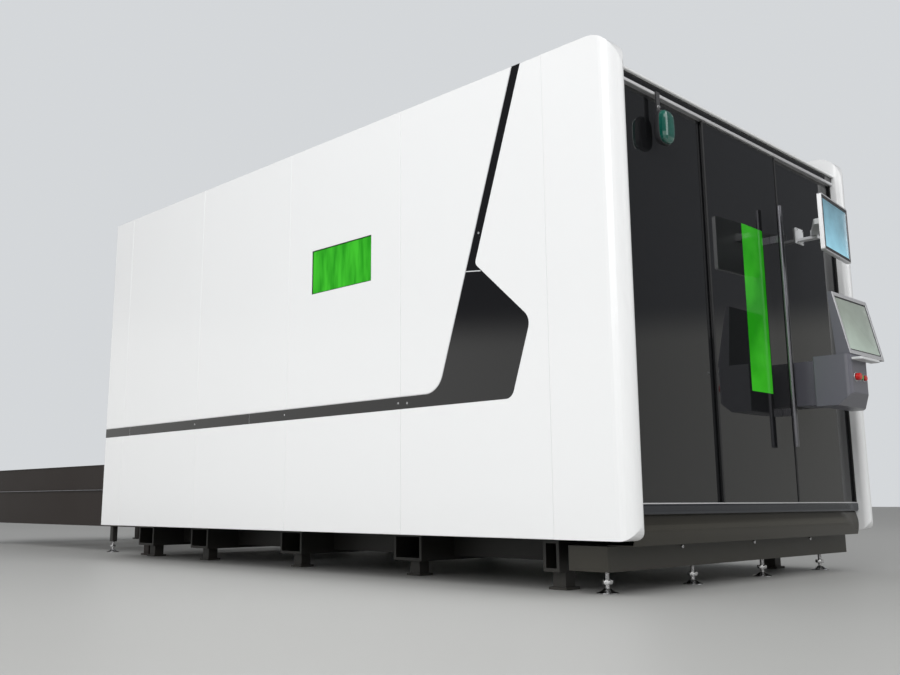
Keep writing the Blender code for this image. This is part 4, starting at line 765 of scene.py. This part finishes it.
def makeLamp():
    # superellipse |u|^p + |v|^p = 1: u = sign(cos a) |cos a|^(2 / p), and v from sin a
    low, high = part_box("signal_lamp")
    half = (high - low) / 2
    middle = (high + low) / 2
    steps = lampSet["steps"]
    angle = np.arange(steps) * 2 * np.pi / steps
    power = 2 / lampSet["bend"]
    u = np.sign(np.cos(angle)) * np.abs(np.cos(angle)) ** power
    v = np.sign(np.sin(angle)) * np.abs(np.sin(angle)) ** power
    rings = []
    for scale, share in lampSet["rings"]:
        rings.append(np.column_stack([middle.x + half.x * scale * u,
                                      np.full(steps, middle.y + half.y * share),
                                      middle.z + half.z * scale * v]))
    makePiece("lamp_housing", "dark_plastic", "machine", [skin(rings)])
    makePiece("lamp_bolt", "chromed_steel", "machine",
              [hexBolt(lampSet["bolt"], "front", lampSet["boltFlats"], lampSet["boltHeight"])])


# Base frame: face of the front beam in a lighter bronze paint that is partly painted light, rims of the
# open tubes

baseSet = {
    "beamHalf": 1.18,
    "beamDepth": 0.2,
    "beamLow": 0.098,
    "beamHigh": 0.203,
    "faceSheet": 0.0015,
    "faceReturn": 0.197,
    "faceEase": 0.0004,
    "bolts": (-0.599, 0.081, 0.717),
    "boltPlace": 0.186,
    "boltRadius": 0.008,
    "boltHeight": 0.006,
    # distance behind the nose, width, half length
    "tubes": ((0.53, 0.09, 1.09), (1.61, 0.21, 0.94), (2.63, 0.21, 0.94), (3.65, 0.21, 0.94),
              (4.36, 0.21, 0.94)),
    "tubeLow": 0.08,
    "tubeHigh": 0.22,
    "rimWide": 0.016,
    "rimProud": 0.0015,
    "rimCorner": 0.006,
    "rimEase": 0.001,
}


def makeBase():
    footLow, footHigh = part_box("levelling_foot_1")
    front = (footLow.y + footHigh.y) / 2 - baseSet["beamDepth"] / 2
    half = baseSet["beamHalf"]
    outer = half + baseSet["faceSheet"]
    near = front - baseSet["faceSheet"]
    far = front + baseSet["faceReturn"]
    ease = baseSet["faceEase"]
    outline = [(-half - ease, far), (-outer, far), (-outer, near + ease), (-outer + ease, near),
               (outer - ease, near), (outer, near + ease), (outer, far), (half + ease, far),
               (half + ease, front - ease), (-half - ease, front - ease)]
    # a sheet over the front beam, lighter than the frame: partly its own bronze paint, partly painted
    # light
    makePiece("front_beam_face", "beam_bronze_lit", "machine",
              [strip(outline, baseSet["beamLow"] + ease, baseSet["beamHigh"] - ease)])
    makePiece("beam_bolts", "chromed_steel", "machine",
              [socketBolt((x, near, baseSet["boltPlace"]), "front", baseSet["boltRadius"],
                          baseSet["boltHeight"]) for x in baseSet["bolts"]])
    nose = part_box("left_panel_1")[0].y
    rims = []
    for behind, wide, reach in baseSet["tubes"]:
        ring = gasket(-wide / 2, wide / 2, baseSet["tubeLow"], baseSet["tubeHigh"],
                      baseSet["rimWide"], -ease, baseSet["rimProud"], baseSet["rimCorner"],
                      baseSet["rimEase"])
        rims.append(placed(ring, (-reach, nose + behind, 0), *facing["left"]))
        rims.append(placed(ring, (reach, nose + behind, 0), *facing["right"]))
    makePiece("tube_rims", "frame_black", "machine", rims)


# Left wall: screws, a strip of painted shade at the inlay's recessed edge, joints of the inlay, gasket of
# the window

wallSet = {
    "face": -1.24,
    "height": 2.45,
    "screwRadius": 0.0055,
    "screwProud": 0.00008,
    "seams": (-2.33935, -1.38185, -0.42435),
    "seamScrews": (0.016, -0.05),       # beside each seam, towards the tail and the nose
    "screwDrop": 0.004,
    "stripeMiddle": 0.88,
    "stripeTop": 0.912,
    "bandScrew": (-2.8885, 1.6643),
    "bandFoot": 0.573,                  # behind the nose, at the wall's top
    "bandLean": 0.33,
    "edgeWide": 0.0045,
    "edgeFillet": 0.12,
    "edgeSteps": 16,
    "stripeJoints": (-1.0151, 0.4386),
    "stripeJointHeights": (0.849, 0.911),
    "stripeJointWide": 0.0012,
    "neckJoint": ((-2.8034, 1.4863), (-2.8990, 1.4748)),
    "neckJointWide": 0.005,
    "sunk": 0.0002,                     # how far edge and joints reach into the inlay
    "edgeProud": 0.0001,
    "jointProud": 0.00008,
    "windowLap": 0.02,
    "gasketWide": 0.0035,
    "gasketProud": 0.0042,
}


def inlayRearEdge():
    # the band's rear edge down to a fillet, then the stripe's top edge back to the tail:
    # y = nose + foot + lean (wall height - z)
    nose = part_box("left_panel_1")[0].y
    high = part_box("left_inlay")[1]
    base = wallSet["stripeTop"]
    lean = wallSet["bandLean"]
    fillet = wallSet["edgeFillet"]
    corner = np.array([nose + wallSet["bandFoot"] + lean * (wallSet["height"] - base), base])
    upward = np.array([-lean, 1.0]) / math.hypot(lean, 1.0)
    opening = math.acos(upward[0])
    start = corner + upward * (fillet / math.tan(opening / 2))
    middle = start + np.array([upward[1], -upward[0]]) * fillet
    first = math.atan2(*(start - middle)[::-1])
    turn = np.linspace(first, first + math.pi - opening, wallSet["edgeSteps"])
    arc = middle + fillet * np.column_stack([np.cos(turn), np.sin(turn)])
    head = corner + upward * (high.z - base) / upward[1]
    return np.concatenate([[head], arc, [[high.y, base]]])


def makeLeftWall():
    face = (wallSet["face"], 0, 0)
    middle = wallSet["stripeMiddle"]
    after, before = wallSet["seamScrews"]
    places = [wallSet["bandScrew"]]
    places += [(y + after, middle) for y in wallSet["seams"]]
    places.append((wallSet["seams"][0] + before, middle - wallSet["screwDrop"]))
    makePiece("inlay_screws", "bezel_silver", "machine",
              [flatScrew((wallSet["face"], y, z), "left", wallSet["screwRadius"],
                         wallSet["screwProud"]) for y, z in places])

    # on the left face u runs along -Y, so each y changes its sign
    sunk = -wallSet["sunk"]
    path = inlayRearEdge() * [-1, 1]
    # a flush silver strip stands for the inlay's recessed white edge; its grey is painted shade on that
    # edge
    edge = ribbon(path, wallSet["edgeWide"], sunk, wallSet["edgeProud"])
    makePiece("inlay_edge_shade", "bezel_silver", "machine", [placed(edge, face, *facing["left"])])

    joints = []
    for y in wallSet["stripeJoints"]:
        joints.append(ribbon([(-y, z) for z in wallSet["stripeJointHeights"]],
                             wallSet["stripeJointWide"], sunk, wallSet["jointProud"]))
    joints.append(ribbon([(-y, z) for y, z in wallSet["neckJoint"]], wallSet["neckJointWide"],
                         sunk, wallSet["edgeProud"]))
    makePiece("inlay_joints", "light_plastic", "machine",
              [placed(part, face, *facing["left"]) for part in joints])

    low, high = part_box("left_window")
    lap = wallSet["windowLap"]
    ring = gasket(-high.y + lap, -low.y - lap, low.z + lap, high.z - lap, wallSet["gasketWide"],
                  0.0, wallSet["gasketProud"], 0.001, 0.001)
    makePiece("window_gasket", "rubber", "machine",
              [placed(ring, (low.x - 0.0001, 0, 0), *facing["left"])])


# Screens: each has a dark border and a lit glass set into its housing

screenSet = {
    "gap": 0.0005,
    # rear face, front face, corner radius and eased edge, with the housing's face at zero
    "border": (-0.0048, -0.0026, 0.003, 0.0006),
    "glass": (-0.0035, -0.0018, 0.002, 0.0004),
}


def makeScreen(name, look, body, opening, border, place):
    u0, u1, v0, v1 = opening
    makePiece(name + "_border", "dark_plastic", body,
              [placed(slab(u0, u1, v0, v1, *screenSet["border"]), *place)])
    glass = slab(u0 + border, u1 - border, v0 + border, v1 - border, *screenSet["glass"])
    makePiece(name + "_glass", look, body, [placed(glass, *place)])


# Console: screen, bezel, collars of the buttons

consoleSet = {
    "screenLean": (0.07, 0.33),
    "bezel": 0.022,
    "bezelInset": 0.001,
    "bezelProud": 0.0016,
    "bezelCorner": 0.006,
    "border": 0.007,
    # inner and outer radius
    "collars": {"emergency_stop": (0.0195, 0.0245), "start_button": (0.0155, 0.0195),
                "stop_button": (0.0155, 0.0195)},
    "collarProud": 0.0035,
}


def makeConsole():
    low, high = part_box("console_screen")
    lean, rise = consoleSet["screenLean"]
    slope = math.hypot(lean, rise)
    place = (((low.x + high.x) / 2, low.y, low.z), (1, 0, 0), (0, lean / slope, rise / slope))
    wide = (high.x - low.x) / 2
    rim = consoleSet["bezel"] + screenSet["gap"]
    half = wide - rim
    makeScreen("console_screen", "lower_screen", "machine", (-half, half, rim, slope - rim),
               consoleSet["border"], place)
    edge = consoleSet["bezelInset"]
    bezel = gasket(-wide + edge, wide - edge, edge, slope - edge, consoleSet["bezel"] - edge,
                   -0.0002, consoleSet["bezelProud"], consoleSet["bezelCorner"], 0.001)
    makePiece("console_screen_bezel", "bezel_silver", "machine", [placed(bezel, *place)])

    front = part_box("console_cabinet")[0].y
    proud = consoleSet["collarProud"]
    collars = []
    for node, (inner, outer) in consoleSet["collars"].items():
        low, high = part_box(node)
        centre = ((low.x + high.x) / 2, front, (low.z + high.z) / 2)
        profile = [(inner, -0.001), (inner, proud * 0.7), (inner + 0.0008, proud),
                   (outer - 0.0012, proud), (outer, proud * 0.6), (outer, -0.001)]
        collars.append(placed(turned(profile, closed=True), centre, *facing["front"]))
    makePiece("button_collars", "chromed_steel", "machine", collars)


# Upper monitor: screen and rim in the turned case, bolts of its plate

monitorSet = {
    "yaw": 5.5,
    "width": 0.42,
    "height": 0.305,
    "frame": 0.018,
    "border": 0.006,
    "centre": (0.446, -3.92085, 1.8035),
    "rim": 0.007,
    "plateSheet": 0.008,
    "boltInset": 0.01,
    "boltRadius": 0.006,
    "boltHeight": 0.004,
}


def makeMonitor():
    yaw = math.radians(monitorSet["yaw"])
    place = (monitorSet["centre"], (math.cos(yaw), math.sin(yaw), 0), (0, 0, 1))
    wide = monitorSet["width"] / 2
    tall = monitorSet["height"] / 2
    halfU = wide - monitorSet["frame"] - screenSet["gap"]
    halfV = tall - monitorSet["frame"] - screenSet["gap"]
    makeScreen("monitor", "upper_screen", "monitor", (-halfU, halfU, -halfV, halfV),
               monitorSet["border"], place)
    rim = monitorSet["rim"]
    ring = gasket(rim - wide, wide - rim, rim - tall, tall - rim, monitorSet["frame"] - rim,
                  -0.0002, 0.0004, 0.004, 0.0003)
    makePiece("monitor_rim", "dark_plastic", "monitor", [placed(ring, *place)])

    low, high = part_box("monitor_bracket")
    front = high.y - monitorSet["plateSheet"]
    inset = monitorSet["boltInset"]
    makePiece("bracket_bolts", "chromed_steel", "machine",
              [socketBolt((x, front, z), "front", monitorSet["boltRadius"],
                          monitorSet["boltHeight"])
               for x in (low.x + inset, high.x - inset)
               for z in (low.z + inset, high.z - inset)])


# Roof and rear wall: rows of screws

shellSet = {
    "screwRadius": 0.009,
    "screwHeight": 0.005,
    "inset": 0.015,         # from the sheet's edge
    "endDistance": 0.1,     # from the sheet's corners
    "topDistance": 0.25,    # the same in the rear wall's upper row
    "roofRow": 13,
    "sideRow": 7,
    "topRow": 6,
}


def makeShellScrews():
    size = (shellSet["screwRadius"], shellSet["screwHeight"])
    inset = shellSet["inset"]
    end = shellSet["endDistance"]
    low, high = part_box("roof")
    screws = []
    for x in (low.x + inset, high.x - inset):
        for y in rows(shellSet["roofRow"], low.y + end, high.y - end):
            screws.append(socketBolt((x, y, high.z), "up", *size))
    makePiece("roof_screws", "chromed_steel", "machine", screws)

    low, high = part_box("rear_wall")
    screws = []
    for x in (low.x + inset, high.x - inset):
        for z in rows(shellSet["sideRow"], low.z + end, high.z - end):
            screws.append(socketBolt((x, high.y, z), "back", *size))
    end = shellSet["topDistance"]
    for x in rows(shellSet["topRow"], low.x + end, high.x - end):
        screws.append(socketBolt((x, high.y, high.z - inset), "back", *size))
    makePiece("rear_wall_screws", "chromed_steel", "machine", screws)


# Gantry and carriage: bolts of the rails and of the carriage, end caps of the beam

gantrySet = {
    "railBoltPitch": 0.12,
    "railBoltEnd": 0.05,
    "railBoltOut": 0.033,
    "railFlange": 0.01,
    "railBolt": (0.006, 0.004),         # radius and height, as for the other bolts
    "carriageBoltPlaces": (-0.11, -0.085, 0.085, 0.11),
    "carriageBoltHeights": (0.04, 0.3),
    "carriageBoltRow": 4,
    "carriageBolt": (0.008, 0.006),
    "capHalf": (0.088, 0.108),
    "capSheet": 0.004,
    "capBehind": 0.09,
    "capBoltPlaces": (0.07, 0.09),
    "capBolt": (0.005, 0.003),
}


def makeGantry():
    bolts = []
    end = gantrySet["railBoltEnd"]
    for node, side in (("guide_rail_left", -1), ("guide_rail_right", 1)):
        low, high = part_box(node)
        x = (low.x + high.x) / 2 - side * gantrySet["railBoltOut"]
        z = low.z + gantrySet["railFlange"]
        count = int((high.y - low.y) / gantrySet["railBoltPitch"])
        for y in rows(count, low.y + end, high.y - end):
            bolts.append(socketBolt((x, y, z), "up", *gantrySet["railBolt"]))
    makePiece("guide_rail_bolts", "chromed_steel", "machine", bolts)

    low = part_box("x_carriage")[0]
    first, last = gantrySet["carriageBoltHeights"]
    bolts = []
    for x in gantrySet["carriageBoltPlaces"]:
        for z in rows(gantrySet["carriageBoltRow"], low.z + first, low.z + last):
            bolts.append(socketBolt((x, low.y, z), "front", *gantrySet["carriageBolt"]))
    makePiece("carriage_bolts", "chromed_steel", "carriage", bolts)

    low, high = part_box("gantry_beam")
    y = high.y - gantrySet["capBehind"]
    z = (low.z + high.z) / 2
    halfU, halfV = gantrySet["capHalf"]
    boltU, boltV = gantrySet["capBoltPlaces"]
    sheet = gantrySet["capSheet"]
    caps = []
    for x, sign, way in ((low.x, -1, "left"), (high.x, 1, "right")):
        cap = slab(-halfU, halfU, -halfV, halfV, -sheet / 2, sheet, 0.006, 0.0015)
        caps.append(placed(cap, (x, y, z), *facing[way]))
        for v in (-boltV, boltV):
            for u in (-boltU, boltU):
                caps.append(socketBolt((x + sign * sheet, y + u, z + v), way,
                                       *gantrySet["capBolt"]))
    makePiece("beam_end_caps", "dark_plastic", "gantry", caps)


# Cutting head: nozzle, sensor ring, bands, drawer of the lens

headSet = {
    "axisBehind": 0.042,
    # profiles of (radius, height over the tip)
    "nozzle": ((0.0041, 0.0), (0.0052, 0.0002), (0.0165, 0.0345), (0.0165, 0.0352)),
    "sensorRing": ((0.0262, 0.036), (0.0268, 0.0365), (0.0268, 0.052), (0.0262, 0.0525)),
    "bandHeights": (1.16, 1.20, 1.27),
    "band": ((0.0415, -0.006), (0.0423, -0.0052), (0.0423, 0.0052), (0.0415, 0.006)),
    "drawerPlace": 1.0,
    "drawerHalf": (0.022, 0.016),
    "drawerProud": 0.012,
    "drawerOut": 0.034,                 # from the axis to the drawer's seat
    "drawerBolt": (0.006, 0.004),
}


def makeHead():
    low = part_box("cutting_head")[0]
    y = low.y + headSet["axisBehind"]
    tip = (0.0, y, low.z)
    makePiece("nozzle", "copper", "head", [placed(turned(headSet["nozzle"]), tip)])
    makePiece("sensor_ring", "ceramic", "head", [placed(turned(headSet["sensorRing"]), tip)])
    makePiece("head_bands", "dark_plastic", "head",
              [placed(turned(headSet["band"]), (0.0, y, z)) for z in headSet["bandHeights"]])
    halfU, halfV = headSet["drawerHalf"]
    proud = headSet["drawerProud"]
    seat = y - headSet["drawerOut"]
    z = headSet["drawerPlace"]
    drawer = slab(-halfU, halfU, -halfV, halfV, 0.0, proud, 0.004, 0.002)
    makePiece("lens_drawer", "machined_steel", "head",
              [placed(drawer, (0.0, seat, z), *facing["front"]),
               socketBolt((0.0, seat - proud, z), "front", *headSet["drawerBolt"])])


# Pallet changer: a light line of painted highlight at the skirt's fold, sleeves of its feet

changerSet = {
    "fold": 0.485,
    "lineHeight": 0.007,
    "lineProud": 0.0012,
    "lineDepth": 0.0045,
    "lineEnds": (0.02, 0.01),           # short of the frame's front and rear
    "sleeveWide": 0.044,
    "sleeveCorner": 0.005,
    "sleeveBore": 0.0112,
    "sleeveBoreCorner": 0.011,
    "sleeveLow": 0.082,
    "sleeveHigh": 0.1997,
}


def makeChanger():
    low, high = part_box("changer_frame")
    half = changerSet["lineHeight"] / 2
    fold = changerSet["fold"]
    front, rear = changerSet["lineEnds"]
    outline = roundedOutline(fold - half, fold + half, -changerSet["lineDepth"],
                             changerSet["lineProud"], 0.0008, 3)
    lines = []
    for x, sign in ((low.x, -1), (high.x, 1)):
        # the line's length runs along -Y on the left and along +Y on the right
        line = strip(outline, sign * (low.y + front), sign * (high.y - rear))
        lines.append(placed(line, (x, 0, 0), (0, 0, 1), (sign, 0, 0)))
    # a thin grey metal strip along each fold is painted highlight, where the fold's edge catches light
    makePiece("skirt_fold_highlights", "handle_metal", "machine", lines)

    half = changerSet["sleeveWide"] / 2
    bore = changerSet["sleeveBore"]
    z0 = changerSet["sleeveLow"]
    z1 = changerSet["sleeveHigh"]
    sleeves = []
    for node in ("changer_foot_left", "changer_foot_right"):
        low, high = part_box(node)
        x = (low.x + high.x) / 2
        y = (low.y + high.y) / 2
        outer = roundedOutline(x - half, x + half, y - half, y + half, changerSet["sleeveCorner"])
        inner = roundedOutline(x - bore, x + bore, y - bore, y + bore,
                               changerSet["sleeveBoreCorner"])
        sleeves.append(skin([raised(outer, z0), raised(outer, z1), raised(inner, z1),
                             raised(inner, z0)], closed=True))
    makePiece("foot_sleeves", "frame_black", "machine", sleeves)


# Changer's motor: cooling ribs round it

driveSet = {
    "axisRise": 0.09,
    "ends": (0.075, 0.285),
    "ribEnds": (0.08, 0.28),
    "ribs": 15,
    "ribFoot": 0.0035,      # half width of a rib at its foot
    "ribTop": 0.0025,       # and at its top
    "core": 0.0655,
    "crest": 0.071,
    "steps": 64,
}


def makeDrive():
    low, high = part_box("changer_drive")
    core = driveSet["core"]
    crest = driveSet["crest"]
    foot = driveSet["ribFoot"]
    top = driveSet["ribTop"]
    start, end = driveSet["ends"]
    profile = [(core, start)]
    for x in rows(driveSet["ribs"], *driveSet["ribEnds"]):
        profile += [(core, x - foot), (crest, x - top), (crest, x + top), (core, x + foot)]
    profile.append((core, end))
    # the motor's axis runs along +X
    centre = (0, (low.y + high.y) / 2, low.z + driveSet["axisRise"])
    makePiece("motor_ribs", "console_grey", "machine",
              [placed(turned(profile, driveSet["steps"]), centre, (0, 1, 0), (0, 0, 1))])


makeFeet()
makeFront()
makeLamp()
makeBase()
makeLeftWall()
makeConsole()
makeMonitor()
makeShellScrews()
makeGantry()
makeHead()
makeChanger()
makeDrive()


# Camera, lamps, floor

def placeCamera():
    data = bpy.data.cameras.new("photoCamera")
    data.lens = camera["lens"]
    data.sensor_width = 36.0
    data.shift_x = camera["shiftX"]
    data.shift_y = camera["shiftY"]
    data.clip_end = 200.0
    obj = addObject("photoCamera", data)
    obj.location = camera["place"]
    obj.rotation_euler = (math.radians(90 + camera["rise"]), math.radians(camera["roll"]),
                          math.radians(-camera["turn"]))
    bpy.context.scene.camera = obj


def addLamp(name, place, target, size, power):
    data = bpy.data.lights.new(name, "AREA")
    data.shape = "SQUARE"
    data.size = size
    data.energy = power
    obj = addObject(name, data)
    obj.location = place
    obj.rotation_euler = (Vector(target) - Vector(place)).to_track_quat("-Z", "Y").to_euler()


def makeWorld():
    # even light for the object, a pale backdrop for the eye, dim surroundings for gloss and glass
    world = bpy.data.worlds.new("paleRoom")
    bpy.context.scene.world = world
    world.use_nodes = True
    tree = world.node_tree
    tree.nodes.clear()

    def background(colour, strength=1.0):
        node = addNode(tree, "ShaderNodeBackground")
        feed(tree, node.inputs["Color"], colour)
        node.inputs["Strength"].default_value = strength
        return node.outputs[0]

    def choose(factor, one, two):
        node = addNode(tree, "ShaderNodeMixShader")
        tree.links.new(factor, node.inputs[0])
        tree.links.new(one, node.inputs[1])
        tree.links.new(two, node.inputs[2])
        return node.outputs[0]

    sight = addNode(tree, "ShaderNodeSeparateXYZ")
    tree.links.new(addNode(tree, "ShaderNodeTexCoord").outputs["Generated"], sight.inputs[0])
    shares = []
    for axis, edge in (("X", light["roomTurn"]), ("Z", light["roomEdge"])):
        share = addNode(tree, "ShaderNodeMapRange", interpolation_type="SMOOTHSTEP")
        share.inputs["From Min"].default_value = edge[0]
        share.inputs["From Max"].default_value = edge[1]
        tree.links.new(sight.outputs[axis], share.inputs["Value"])
        shares.append(share.outputs["Result"])
    room = mixColour(tree, shares[0], light["roomLow"], light["roomLowRight"])
    room = mixColour(tree, shares[1], room, light["roomHigh"])
    path = addNode(tree, "ShaderNodeLightPath")
    lit = background(light["worldColour"], light["worldStrength"])
    mirrored = choose(path.outputs["Is Glossy Ray"], lit, background(room))
    straight = addMath(tree, "MAXIMUM", path.outputs["Is Camera Ray"],
                       path.outputs["Is Transmission Ray"])
    out = addNode(tree, "ShaderNodeOutputWorld")
    tree.links.new(choose(straight, mirrored, background(light["backdrop"])), out.inputs[0])


def makeFloor():
    reach = floorSet["reach"]
    data = bpy.data.meshes.new("floor")
    corners = [(-reach, -reach, 0), (reach, -reach, 0), (reach, reach, 0), (-reach, reach, 0)]
    data.from_pydata(corners, [], [(0, 1, 2, 3)])
    floor = addObject("floor", data)
    material, tree, shader = startMaterial("paleFloor", {})
    film = useGroup(tree, paintGroup, Peel_Scale=60.0, Cloud_Scale=0.35)
    base = floorSet["colour"]
    colour = mixColour(tree, film.outputs["Cloud"], tuple(part * 0.93 for part in base), base)
    tree.links.new(colour, shader.inputs["Base Color"])
    shader.inputs["Roughness"].default_value = floorSet["roughness"]
    addBump(tree, shader, film.outputs["Height"], 0.03, 0.002)
    data.materials.append(material)


placeCamera()
makeWorld()
addLamp("keyLamp", light["keyPlace"], (0, 0, 1), light["keySize"], light["keyPower"])
addLamp("frontLamp", light["frontPlace"], (0, -3, 1), light["frontSize"], light["frontPower"])
makeFloor()
bpy.context.scene.view_settings.view_transform = "Standard"
print("camera, lamps and floor ready")
